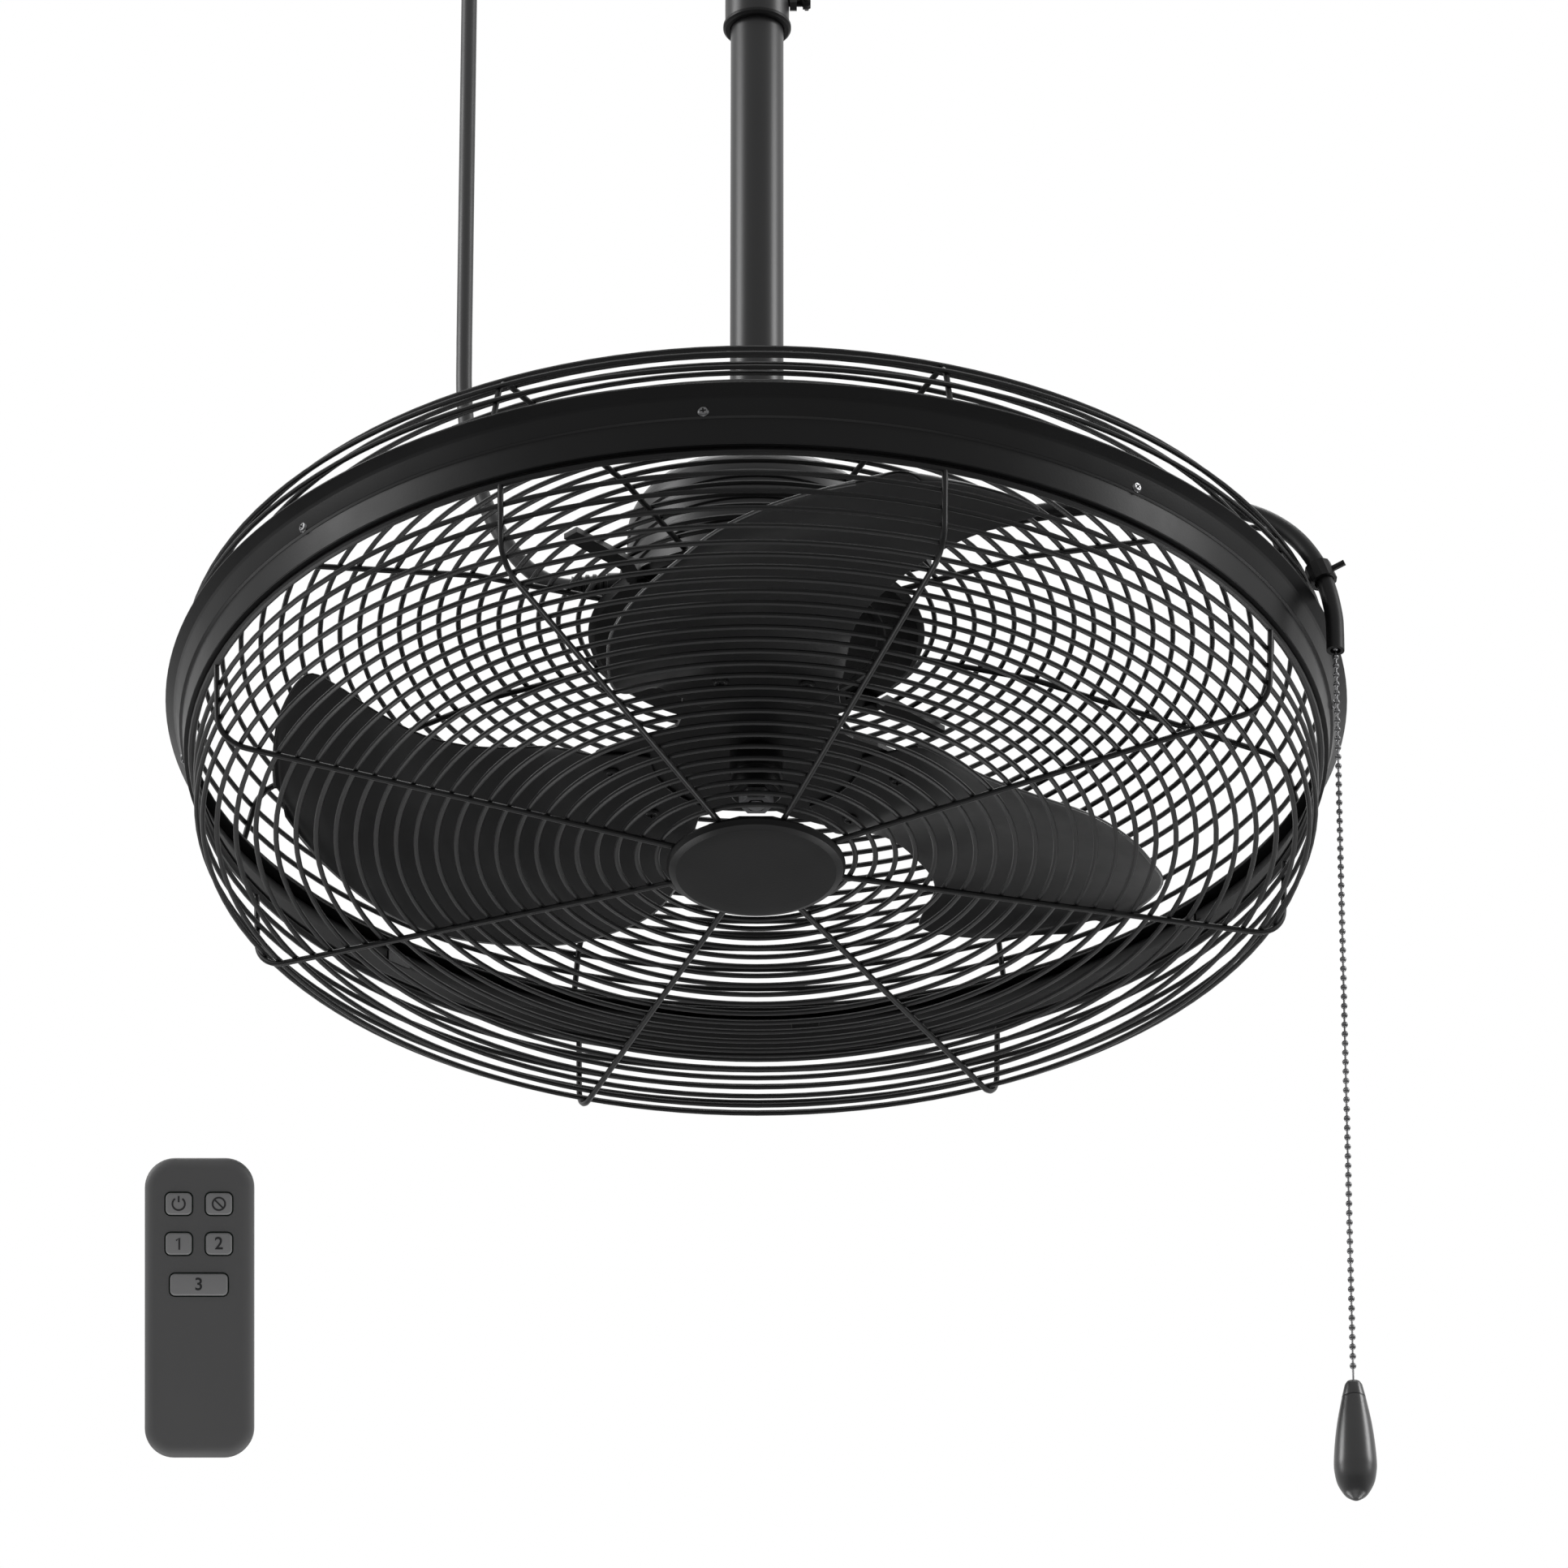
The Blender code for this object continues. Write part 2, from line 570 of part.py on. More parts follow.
def make_drop_rod():
    end = above_rim(OUTER_TUBE_END)
    top = -PLATE_T - SOCKET_FLOOR - SEAT
    bore = OUTER_TUBE_R - OUTER_TUBE_WALL
    tube = turned("outer_tube", [(OUTER_TUBE_R, top), (OUTER_TUBE_R, end), (bore, end), (bore, top)],
                  ROUND_STEPS, ROD_PAINT, closed=True)
    reach = OUTER_TUBE_R * 1.5
    lock_z = end + LOCK_SCREW_RISE
    bolt_hole = cutter_rod(TOP_BOLT_R + SEAT, (-reach, 0, TOP_BOLT_Z), (reach, 0, TOP_BOLT_Z), 10)
    lock_hole = cutter_rod(LOCK_SCREW_R + SEAT, (0, 0, lock_z), (reach, 0, lock_z), 12)
    cut(tube, group("tube_holes", [bolt_hole, lock_hole], None))

    slide = INNER_TUBE_R + SEAT
    low = end - SEAT - BUSH_FLANGE_T
    turned("glide_bush", [(bore - SEAT, end + BUSH_SLEEVE), (bore - SEAT, end - SEAT),
                          (BUSH_FLANGE_R, end - SEAT), (BUSH_FLANGE_R, low + BUSH_FLANGE_T * 0.4),
                          (BUSH_FLANGE_R - BUSH_FLANGE_T * 0.4, low), (slide, low),
                          (slide, end + BUSH_SLEEVE)], ROUND_STEPS, BLACK_PLASTIC, closed=True)

    nut_from = OUTER_TUBE_R + SEAT
    nut_bore = clear_of(LOCK_SCREW_R, 6)
    turned("lock_nut", [(nut_bore, LOCK_NUT_T), (LOCK_NUT_R, LOCK_NUT_T), (LOCK_NUT_R, 0), (nut_bore, 0)],
           6, ROD_PAINT,
           pointing((1, 0, 0), (nut_from, 0, lock_z)), closed=True)
    tip = INNER_TUBE_R + SEAT
    knob = nut_from + LOCK_NUT_T + LOCK_STEM_SHOWN
    length = knob + LOCK_KNOB_T - tip
    stem = knob - tip
    profile = [(0, length), (LOCK_KNOB_R * 0.8, length), (LOCK_KNOB_R, length - LOCK_KNOB_T * 0.3),
               (LOCK_KNOB_R, stem), (LOCK_SCREW_R, stem), (LOCK_SCREW_R, 0), (0, 0)]
    screw_body = turned("thumb_screw", profile, 12, ZINC, pointing((1, 0, 0), (tip, 0, lock_z)))
    wing = box("wing", (LOCK_KNOB_T * 0.55, LOCK_KNOB_R * 3.4, LOCK_KNOB_R * 0.8),
               (knob + LOCK_KNOB_T * 0.5, 0, lock_z), ZINC)
    fuse("thumb_screw", [screw_body, wing], ZINC)

    floor = above_rim(MOTOR_TOP) + SEAT + COUPLING_FLOOR
    rod_low = floor + SEAT
    rod_top = end + TUBE_LAP
    hollow = INNER_TUBE_R - INNER_TUBE_WALL
    inner = turned("inner_tube", [(INNER_TUBE_R, rod_top), (INNER_TUBE_R, rod_low), (hollow, rod_low),
                                  (hollow, rod_top)], ROUND_STEPS, ROD_PAINT, closed=True)
    pin_z = floor + COUPLING_PIN_RISE
    reach = INNER_TUBE_R * 2
    cut(inner, cutter_rod(COUPLING_PIN_R + SEAT, (-reach, 0, pin_z), (reach, 0, pin_z), 12))

    socket = INNER_TUBE_R + SEAT
    outer = socket + COUPLING_WALL
    base = above_rim(MOTOR_TOP) + SEAT
    profile = [(socket, floor + COUPLING_DEPTH), (outer - 0.001, floor + COUPLING_DEPTH),
               (outer, floor + COUPLING_DEPTH - 0.001), (outer, base + COUPLING_FLANGE_T),
               (COUPLING_FLANGE_R, base + COUPLING_FLANGE_T), (COUPLING_FLANGE_R, base), (0, base),
               (0, floor), (socket, floor)]
    coupling = turned("rod_coupling", profile, ROUND_STEPS, ROD_PAINT, closed=True)
    coupling = cut(coupling, cutter_rod(COUPLING_PIN_R + SEAT, (-reach, 0, pin_z), (reach, 0, pin_z), 12))
    flange_screws = []
    for i in range(3):
        top = polar(FLANGE_SCREW_CIRCLE_R, 90 + 120 * i, base + COUPLING_FLANGE_T)
        flange_screws.append(screw_head(FLANGE_SCREW_R, top, (0, 0, -1), WELD_BITE, ROD_PAINT))
    fuse("rod_coupling", [coupling, group("flange_screws", flange_screws, ROD_PAINT)], ROD_PAINT)
    screw("coupling_pin", COUPLING_PIN_R, (outer + SEAT, 0, pin_z), (-1, 0, 0),
          2 * outer + COUPLING_PIN_R * 3, ZINC, None, 12)
    clip_bore = clear_of(COUPLING_PIN_R, 10)
    turned("coupling_pin_clip", [(clip_bore, COUPLING_PIN_R), (COUPLING_PIN_R * 2, COUPLING_PIN_R),
                                 (COUPLING_PIN_R * 2, 0), (clip_bore, 0)], 10, ZINC,
           pointing((-1, 0, 0), (-outer - SEAT, 0, pin_z)), closed=True)


def plate_top():
    return FRONT_PLATE_Z + FRONT_PLATE_T


def make_motor():
    front_top = above_rim(plate_top())
    front_low = above_rim(FRONT_PLATE_Z)
    bearing_out = BEARING_R + SEAT
    boss = bearing_out + BEARING_SEAT_WALL
    shelf = front_low + FRONT_PLATE_T * 0.7
    boss_top = shelf + BEARING_T + 0.001
    shaft_hole = SHAFT_R + RUNNING
    rim_t = FRONT_PLATE_T * 0.35
    profile = [(bearing_out, boss_top), (boss, boss_top), (boss, front_low + FRONT_PLATE_T * 0.75),
               (HOUSING_SCREW_CIRCLE_R - 0.012, front_low + FRONT_PLATE_T * 0.75),
               (HOUSING_SCREW_CIRCLE_R - 0.008, front_top), (FRONT_PLATE_R - rim_t, front_top),
               (FRONT_PLATE_R, front_top - rim_t), (FRONT_PLATE_R, front_low + rim_t * 1.4),
               (FRONT_PLATE_R - rim_t * 2, front_low), (BEARING_R * 2, front_low),
               (BEARING_R * 1.6, front_low - 0.0015), (shaft_hole, front_low - 0.0015), (shaft_hole, shelf),
               (bearing_out, shelf)]
    plate = turned("motor_front_plate", profile, LARGE_STEPS, BLACK_PAINT, closed=True)

    low = front_top + SEAT
    top = above_rim(MOTOR_TOP)
    inner = MOTOR_R - MOTOR_WALL
    flange_top = low + MOTOR_FLANGE_T
    bearing_low = top - MOTOR_WALL * 2.4 - BEARING_T
    skin = []
    for i in range(SHOULDER_STEPS + 1):
        turn = math.pi / 2 * i / SHOULDER_STEPS
        skin.append((MOTOR_R - MOTOR_SHOULDER * (1 - math.sin(turn)),
                     top - MOTOR_SHOULDER * 0.75 * (1 - math.cos(turn))))
    lean = math.pi / 2 / SHOULDER_STEPS
    lining = [(r - MOTOR_WALL * (math.sin(lean * i) + 0.3), z - MOTOR_WALL * math.cos(lean * i))
              for i, (r, z) in enumerate(skin)]
    lining[-1] = (inner, skin[-1][1])
    seat_out = bearing_out + BEARING_SEAT_WALL
    ceiling = lining[0][1]
    profile = ([(0, top)] + skin + groove_points(skin[-1][1], flange_top)
               + [(MOTOR_R, flange_top), (MOTOR_FLANGE_R, flange_top), (MOTOR_FLANGE_R, low), (inner, low)]
               + list(reversed(lining))
               + [(seat_out, ceiling), (seat_out, bearing_low), (bearing_out, bearing_low),
                  (bearing_out, bearing_low + BEARING_T), (0, bearing_low + BEARING_T)])
    housing = turned("motor_rear_housing", profile, LARGE_STEPS, MOTOR_PAINT)
    entry = above_rim(CORD_ENTRY_Z)
    entry_hole = cutter_rod(CORD_R + 2 * SEAT, (-MOTOR_R * 1.2, 0, entry), (-MOTOR_R * 0.8, 0, entry), 12)
    plate_holes = []
    screws = []
    for i in range(4):
        at = polar(HOUSING_SCREW_CIRCLE_R, 90 * i, flange_top)
        screws.append(screw_head(HOUSING_SCREW_R, at, (0, 0, -1), WELD_BITE, MOTOR_PAINT))
    for turn in (STRAP_AZIMUTH, STRAP_AZIMUTH + 180):
        at = polar(FRONT_PLATE_R - STRAP_SCREW_FROM_EDGE, turn, front_low)
        reach = Vector((0, 0, FRONT_PLATE_T * 2))
        plate_holes.append(cutter_rod(STRAP_SCREW_R + SEAT, at - reach, at + reach, 8))
    housing = cut(housing, entry_hole)
    fuse("motor_rear_housing", [housing, group("housing_screws", screws, MOTOR_PAINT)], MOTOR_PAINT)
    cut(plate, group("front_plate_holes", plate_holes, None))

    for name, z in (("rear_bearing", bearing_low), ("front_bearing", shelf + SEAT)):
        turned(name, [(BEARING_R, z + BEARING_T - SEAT), (BEARING_R, z), (BEARING_BORE_R, z),
                      (BEARING_BORE_R, z + BEARING_T - SEAT)], SMALL_STEPS, STEEL, closed=True)
    shaft_top = bearing_low + BEARING_T - RUNNING
    shaft_low = above_rim(HUB_BOTTOM) - HUB_NUT_T - 2 * SEAT
    turned("motor_shaft", [(0, shaft_top), (SHAFT_R, shaft_top), (SHAFT_R, shaft_low), (0, shaft_low)],
           SMALL_STEPS, STEEL)

    stator_low = above_rim(STATOR_Z)
    stator_top = stator_low + STATOR_H
    stator_r = inner - SEAT
    turned("stator_core", [(stator_r, stator_top), (stator_r, stator_low), (STATOR_BORE_R, stator_low),
                           (STATOR_BORE_R, stator_top)], LARGE_STEPS, LAMINATION, closed=True)
    inside = STATOR_BORE_R + 0.003
    outside = inside + WINDING_H * 2
    upper = stator_top + SEAT
    lower = stator_low - SEAT - WINDING_H
    for name, base in (("upper_winding", upper), ("lower_winding", lower)):
        crown = base + WINDING_H
        turned(name, [(inside + 0.002, crown), (outside - 0.002, crown), (outside, base + 0.003),
                      (outside - 0.002, base), (inside + 0.002, base), (inside, base + 0.003)],
               SMALL_STEPS, COPPER, closed=True)
    core_r = STATOR_BORE_R - ROTOR_GAP
    core_bore = clear_of(SHAFT_R, ROUND_STEPS)
    turned("rotor_core", [(core_r, stator_top), (core_r, stator_low), (core_bore, stator_low),
                          (core_bore, stator_top)], ROUND_STEPS, LAMINATION, closed=True)
    on_winding = stator_top + SEAT + WINDING_H + SEAT
    middle = (inside + outside) / 2
    box("receiver_board", (*BOARD_SIZE, BOARD_T), (0, middle - 0.006, on_winding + BOARD_T / 2), CIRCUIT)
    cap_z = on_winding + CAPACITOR_R
    rod("run_capacitor", CAPACITOR_R, (-CAPACITOR_L / 2, -middle + 0.006, cap_z),
        (CAPACITOR_L / 2, -middle + 0.006, cap_z), BLACK_PLASTIC, 14)


def groove_points(top, low):
    """Two shallow bands round the motor's side."""
    points = []
    height = top - low
    for share in (0.12, 0.42):
        start = top - height * share
        for step, depth in ((0, 0), (1, MOTOR_GROOVE), (4, MOTOR_GROOVE), (5, 0)):
            points.append((MOTOR_R - depth, start - step * MOTOR_GROOVE))
    return points


def make_guard_straps():
    """Two flat bars, screwed under the motor's front plate and cranked up to where the rear guard lies."""
    low = above_rim(FRONT_PLATE_Z) - SEAT - STRAP_T
    high = above_rim(plate_top()) - STRAP_T
    start = FRONT_PLATE_R - STRAP_LAP
    bend = FRONT_PLATE_R + SEAT
    raised = bend + STRAP_BEND
    lean = STRAP_T * 0.4
    profile = [(start, low), (bend + lean, low), (raised + lean, high), (STRAP_END_R, high),
               (STRAP_END_R, high + STRAP_T), (raised - lean, high + STRAP_T), (bend - lean, low + STRAP_T),
               (start, low + STRAP_T)]
    names = ("guard_strap_left", "guard_strap_right")
    upright = Matrix.Rotation(math.radians(90), 4, "X")
    for name, turn in zip(names, (STRAP_AZIMUTH, STRAP_AZIMUTH + 180)):
        place = Matrix.Rotation(math.radians(turn), 4, "Z") @ upright
        bar = sheet_of(name, profile, STRAP_W, BLACK_PAINT, place)
        at = polar(FRONT_PLATE_R - STRAP_SCREW_FROM_EDGE, turn, low)
        up = Vector((0, 0, 1))
        head = screw_head(STRAP_SCREW_R, at, up, WELD_BITE, BLACK_PAINT)
        shank = rod("shank", STRAP_SCREW_R, at + up * WELD_BITE, at + up * (STRAP_T + SEAT + FRONT_PLATE_T),
                    BLACK_PAINT, 6)
        fuse(name, [bar, group("strap_screw", [head, shank], BLACK_PAINT)], BLACK_PAINT)


def fillet(before, corner, after, radius, steps):
    """Points of a round corner between two straight runs."""
    corner = Vector(corner)
    first = (Vector(before) - corner).normalized()
    second = (Vector(after) - corner).normalized()
    half = first.angle(second) / 2
    reach = radius / math.tan(half)
    centre = corner + (first + second).normalized() * (radius / math.sin(half))
    start = corner + first * reach
    end = corner + second * reach
    sweep = (start - centre).angle_signed(end - centre)
    points = []
    for i in range(steps + 1):
        turn = -sweep * i / steps
        arm = start - centre
        points.append(centre + Vector((arm.x * math.cos(turn) - arm.y * math.sin(turn),
                                       arm.x * math.sin(turn) + arm.y * math.cos(turn))))
    return points


def ring_loop(centre, radius, sides):
    """Cross-section of a ring of wire, running down its outer side."""
    turns = [-2 * math.pi * (i + 0.5) / sides + math.pi / 2 for i in range(sides)]
    return [(centre[0] + radius * math.cos(t), centre[1] + radius * math.sin(t)) for t in turns]


def rings(name, centres, radius, sides, steps):
    loops = [ring_loop(centre, radius, sides) for centre in centres]
    place = Matrix.Rotation(math.radians(RIB_AZIMUTH), 4, "Z")
    return turned(name, loops, steps, WIRE_PAINT, place, closed=True)


def ribs(name, path, radius=RIB_R):
    """The same rib, given as (radius, height) points, at every rib's azimuth."""
    made = []
    for i in range(RIB_COUNT):
        turn = RIB_AZIMUTH + i * 360.0 / RIB_COUNT
        made.append(wire(name, [polar(r, turn, z) for r, z in path], radius, WIRE_PAINT))
    return made


def along(start, end, pitch, first=0.0):
    """Points a pitch apart on a straight run."""
    start = Vector(start)
    run = Vector(end) - start
    count = int((run.length - first) / pitch + 0.001)
    return [start + run.normalized() * (first + i * pitch) for i in range(count + 1)]


def offset(points, before, after, distance):
    run = (Vector(after) - Vector(before)).normalized()
    side = Vector((-run.y, run.x)) * distance
    return [point + side for point in points]


def make_guard(side, face_runs, corner, wall_end, wall_rings, ring_side):
    """A guard's face and wall. Points are (radius, height); face_runs go outwards from the middle.

    ring_side is 1 where the rings lie above their ribs, and -1 where they lie below them.
    """
    arc = fillet(face_runs[-1], corner, wall_end, CORNER_R, RIB_ARC_STEPS)
    pitch_points = []
    bends = face_runs[:-1] + [face_runs[-1], tuple(arc[0])]
    bite = (RIB_R + RING_R - WELD_BITE) * ring_side
    left = RING_PITCH * 0.5 + face_first(side)
    for before, after in zip(bends, bends[1:]):
        length = (Vector(after) - Vector(before)).length
        if left < length:
            found = along(before, after, RING_PITCH, left)
            pitch_points += offset(found, before, after, bite)
            left = RING_PITCH - (length - (found[-1] - Vector(before)).length)
        else:
            left -= length
    inner = [p for p in pitch_points if p.x < INNER_RING_LIMIT]
    outer = [p for p in pitch_points if p.x >= INNER_RING_LIMIT]
    gap = (arc[0] - Vector(bends[-2])).normalized() * SEAT
    face_path = [Vector(p) for p in bends[:-1]] + [arc[0] - gap]
    face_ribs = group("face_ribs", ribs(side + "_rib", [tuple(p) for p in face_path]), WIRE_PAINT)
    inner_rings = rings("inner", inner, RING_R, WIRE_SIDES, INNER_RING_STEPS)
    outer_rings = rings("outer", outer, RING_R, WIRE_SIDES, OUTER_RING_STEPS)
    face_rings = group("face_rings", [inner_rings, outer_rings], WIRE_PAINT)
    fuse(side + "_guard_face", [face_ribs, face_rings], WIRE_PAINT)

    wall_start = arc[-1]
    run = Vector(wall_end) - wall_start
    wall_points = [wall_start + run * (i + 0.35) / wall_rings for i in range(wall_rings)]
    wall_points = offset(wall_points, wall_start, wall_end, bite)
    middle = len(arc) // 2
    corner_ring = offset([arc[middle]], arc[middle - 1], arc[middle + 1], bite)
    wall_ribs = group("wall_ribs", ribs("rib", [tuple(p) for p in arc] + [tuple(wall_end)]), WIRE_PAINT)
    edge = rings("edge", [wall_end], EDGE_RING_R, WIRE_SIDES, OUTER_RING_STEPS)
    wall = rings("wall", wall_points + corner_ring, RING_R, WIRE_SIDES, OUTER_RING_STEPS)
    fuse(side + "_guard_wall", [wall_ribs, group("hoops", [edge, wall], WIRE_PAINT)], WIRE_PAINT)


def face_first(side):
    """How far the first ring lies out from the ribs' inner ends."""
    return FRONT_PLATE_R - rear_rib_start() if side == "rear" else FRONT_BADGE_R - FRONT_RIB_START_R


def rear_rib_start():
    return FRONT_PLATE_R - 0.006


def make_rear_guard():
    flat_z = above_rim(plate_top() + SEAT + RIB_R)
    edge = (RIM_R - RIM_TOP_LIP * 0.6, above_rim(RIM_H / 2) + SEAT + EDGE_RING_R)
    corner = (REAR_EDGE_R, above_rim(REAR_CORNER_Z))
    make_guard("rear", [(rear_rib_start(), flat_z), (REAR_FLAT_R, flat_z)], corner, edge,
               REAR_WALL_RINGS, 1)


def front_rib_start():
    return (FRONT_RIB_START_R, above_rim(FRONT_FACE_Z))


def make_front_guard():
    edge = (RIM_R - RIM_LIP * 0.45, above_rim(-RIM_H / 2) - SEAT - EDGE_RING_R * WIRE_FLAT)
    corner = (FRONT_EDGE_R, above_rim(FRONT_CORNER_Z))
    badge_edge = (FRONT_BADGE_R, above_rim(FRONT_FACE_Z))
    make_guard("front", [front_rib_start(), badge_edge], corner, edge, FRONT_WALL_RINGS, 1)


def make_badge():
    """The bare disc in the middle of the front guard, and the plate that clamps it to the ribs."""
    rib_low = above_rim(FRONT_FACE_Z) - RIB_R
    high = rib_low - SEAT
    low = high - BADGE_T
    wall = BADGE_T * 0.3
    turned("badge_cap", [(0, low + wall), (FRONT_BADGE_R - wall, low + wall), (FRONT_BADGE_R - wall, high),
                         (FRONT_BADGE_R, high), (FRONT_BADGE_R, low + BADGE_BEVEL * 1.6),
                         (FRONT_BADGE_R - BADGE_BEVEL * 0.5, low + BADGE_BEVEL * 0.6),
                         (FRONT_BADGE_R - BADGE_BEVEL * 1.8, low), (0, low)], LARGE_STEPS, BLACK_PAINT)
    back_low = above_rim(FRONT_FACE_Z) + RIB_R + SEAT
    back_top = back_low + BADGE_BACK_T
    back = turned("badge_back", [(0, back_top), (BADGE_BACK_R - 0.001, back_top),
                                 (BADGE_BACK_R, back_top - 0.001), (BADGE_BACK_R, back_low), (0, back_low)],
                  ROUND_STEPS, BLACK_PAINT)
    reach = Vector((0, 0, BADGE_BACK_T * 3))
    at = Vector((0, 0, back_low + BADGE_BACK_T + SEAT))
    cut(back, cutter_rod(BADGE_SCREW_R + SEAT, at - reach, at + reach, 12))
    depth = at.z - (low + wall) - SEAT
    screw("badge_screw", BADGE_SCREW_R, at, (0, 0, -1), depth, ZINC, None, 12)


def make_rim():
    top = above_rim(RIM_H / 2)
    low = above_rim(-RIM_H / 2)
    s = RIM_SHEET
    step = RIM_R - RIM_BEAD
    inside = RIM_R - RIM_LIP
    turn_top = low + RIM_LIP_TURN
    ledge = above_rim(RIM_BEAD)
    profile = [(RIM_R - RIM_TOP_LIP, top), (RIM_R, top), (RIM_R, ledge + RIM_BEAD), (step, ledge),
               (step, low), (inside, low), (inside, turn_top), (inside + s, turn_top),
               (inside + s, low + s), (step - s, low + s), (step - s, ledge + s * 0.4),
               (RIM_R - s, ledge + RIM_BEAD + s * 0.4), (RIM_R - s, top - s), (RIM_R - RIM_TOP_LIP, top - s)]
    hoop = turned("rim_hoop", profile, RIM_STEPS, BLACK_PAINT, closed=True)
    clips = []
    heads = []
    sag = RIM_R * (1 - math.cos(math.pi / RIM_STEPS))
    z = above_rim(RIM_SCREW_Z + RIM_BEAD)
    bite = s * 0.25
    for i in range(RIM_SCREW_COUNT):
        turn = RIM_SCREW_AZIMUTH + i * 360.0 / RIM_SCREW_COUNT
        outward = polar(1, turn)
        clip_at = polar(RIM_R - s - RIM_CLIP_T / 2 + bite, turn, z)
        facing = Matrix.Rotation(math.radians(turn), 4, "Z")
        clips.append(box("rim_clip", (RIM_CLIP_T, RIM_CLIP_W, RIM_CLIP_H), clip_at, BLACK_PAINT, facing))
        heads.append(screw_head(RIM_SCREW_R, polar(RIM_R - sag, turn, z), -outward, s * SUNK, BLACK_PAINT))
    clipped = fuse("rim_and_clips", [hoop, group("rim_clips", clips, BLACK_PAINT)], BLACK_PAINT)
    fuse("rim_hoop", [clipped, group("rim_screws", heads, BLACK_PAINT)], BLACK_PAINT)


def blade_rows():
    """The blade's rows from root to tip, each with its radius, edge azimuths, edge heights and camber."""
    rows = [(radius, low, high, 0.0, 0.0, 0.0) for radius, low, high in BLADE_ROOT]
    for share, low, high, low_z, high_z in BLADE_FORM:
        radius = BLADE_FLAT_R + (BLADE_TIP_R - BLADE_FLAT_R) * share
        rows.append((radius, low, high, low_z, high_z, BLADE_CAMBER * min(share / BLADE_CAMBER_FROM, 1.0)))
    return rows


def make_blade(number):
    """One sickle blade: a pitched, cambered sheet, flat at its root where the hub's arm holds it."""
    middle = BLADE_AZIMUTH + number * 360.0 / BLADE_COUNT
    mesh = bpy.data.meshes.new("blade")
    shell = bmesh.new()
    rows = []
    for radius, low, high, low_z, high_z, camber in blade_rows():
        row = []
        for i in range(BLADE_ACROSS_STEPS + 1):
            across = i / BLADE_ACROSS_STEPS
            turn = low + (high - low) * across
            height = low_z + (high_z - low_z) * across + camber * 4 * across * (1 - across)
            row.append(shell.verts.new(polar(radius, middle + turn, height)))
        rows.append(row)
    for lower, upper in zip(rows, rows[1:]):
        for i in range(BLADE_ACROSS_STEPS):
            shell.faces.new((lower[i], upper[i], upper[i + 1], lower[i + 1]))
    shell.to_mesh(mesh)
    shell.free()
    name = f"blade_{number + 1}"
    blade = add(name, mesh, BLADE_PAINT)
    blade.location = (0, 0, above_rim(BLADE_Z))
    thick = blade.modifiers.new("thickness", "SOLIDIFY")
    thick.thickness = BLADE_T
    thick.offset = 0
    blade = bake(blade)
    screws = []
    for turn in BLADE_SCREW_ANGLES:
        low = polar(BLADE_SCREW_RADIUS, middle + turn, above_rim(BLADE_Z) - BLADE_T / 2)
        up = Vector((0, 0, 1))
        screws.append(screw_head(BLADE_SCREW_R, low, up, BLADE_T * 0.4, BLADE_PAINT))
        shank = low + up * BLADE_T * 0.6
        end = low + up * (BLADE_T + SEAT + HUB_PLATE_T)
        screws.append(rod("shank", BLADE_SCREW_R, shank, end, BLADE_PAINT, 6))
    return fuse(name, [blade, group("blade_screws", screws, BLADE_PAINT)], BLADE_PAINT)


def make_hub():
    for number in range(BLADE_COUNT):
        make_blade(number)
    plate_low = above_rim(BLADE_Z) + BLADE_T / 2 + SEAT
    plate_mid = plate_low + HUB_PLATE_T / 2
    outline = []
    holes = []
    spread = 360.0 / BLADE_COUNT
    arm_mid = sum(BLADE_SCREW_ANGLES) / 2
    for number in range(BLADE_COUNT):
        turn = BLADE_AZIMUTH + arm_mid + number * spread
        for step in (-1, -0.5, 0, 0.5, 1):
            outline.append(tuple(polar(HUB_ARM_R, turn + step * HUB_ARM_HALF).xy))
        for share in (0.25, 0.5, 0.75):
            gap = spread - 2 * HUB_ARM_HALF
            outline.append(tuple(polar(HUB_PLATE_R, turn + HUB_ARM_HALF + gap * share).xy))
        for angle in BLADE_SCREW_ANGLES:
            at = polar(BLADE_SCREW_RADIUS, BLADE_AZIMUTH + number * spread + angle)
            holes.append(circle_points(BLADE_SCREW_R + 2 * SEAT, 8, at.xy))
    holes.append(circle_points(HUB_R * 0.75, 12))
    spider = sheet_of("spider", outline, HUB_PLATE_T, BLADE_PAINT,
                      Matrix.Translation((0, 0, plate_mid)), holes)
    bore = clear_of(SHAFT_R, ROUND_STEPS)
    top = above_rim(HUB_TOP)
    low = above_rim(HUB_BOTTOM)
    boss = turned("boss", [(bore, top), (HUB_R * 0.8, top), (HUB_R, top - HUB_R * 0.2), (HUB_R, low),
                           (bore, low)], ROUND_STEPS, BLADE_PAINT, closed=True)
    fuse("blade_hub", [boss, spider], BLADE_PAINT)
    nut_top = low - SEAT
    bore = clear_of(SHAFT_R, 6)
    nut_low = nut_top - HUB_NUT_T
    nut = [(HUB_NUT_R, nut_top), (HUB_NUT_R, nut_low), (bore, nut_low), (bore, nut_top)]
    turned("hub_nut", nut, 6, ZINC, closed=True)


def smooth(points, per_span):
    """Points of a smooth curve through the given ones."""
    points = [Vector(p) for p in points]
    padded = [points[0] * 2 - points[1], *points, points[-1] * 2 - points[-2]]
    made = []
    for a, b, c, d in zip(padded, padded[1:], padded[2:], padded[3:]):
        for i in range(per_span):
            t = i / per_span
            made.append(0.5 * (2 * b + (c - a) * t + (2 * a - 5 * b + 4 * c - d) * t * t
                               + (3 * b - a - 3 * c + d) * t * t * t))
    return made + [points[-1]]


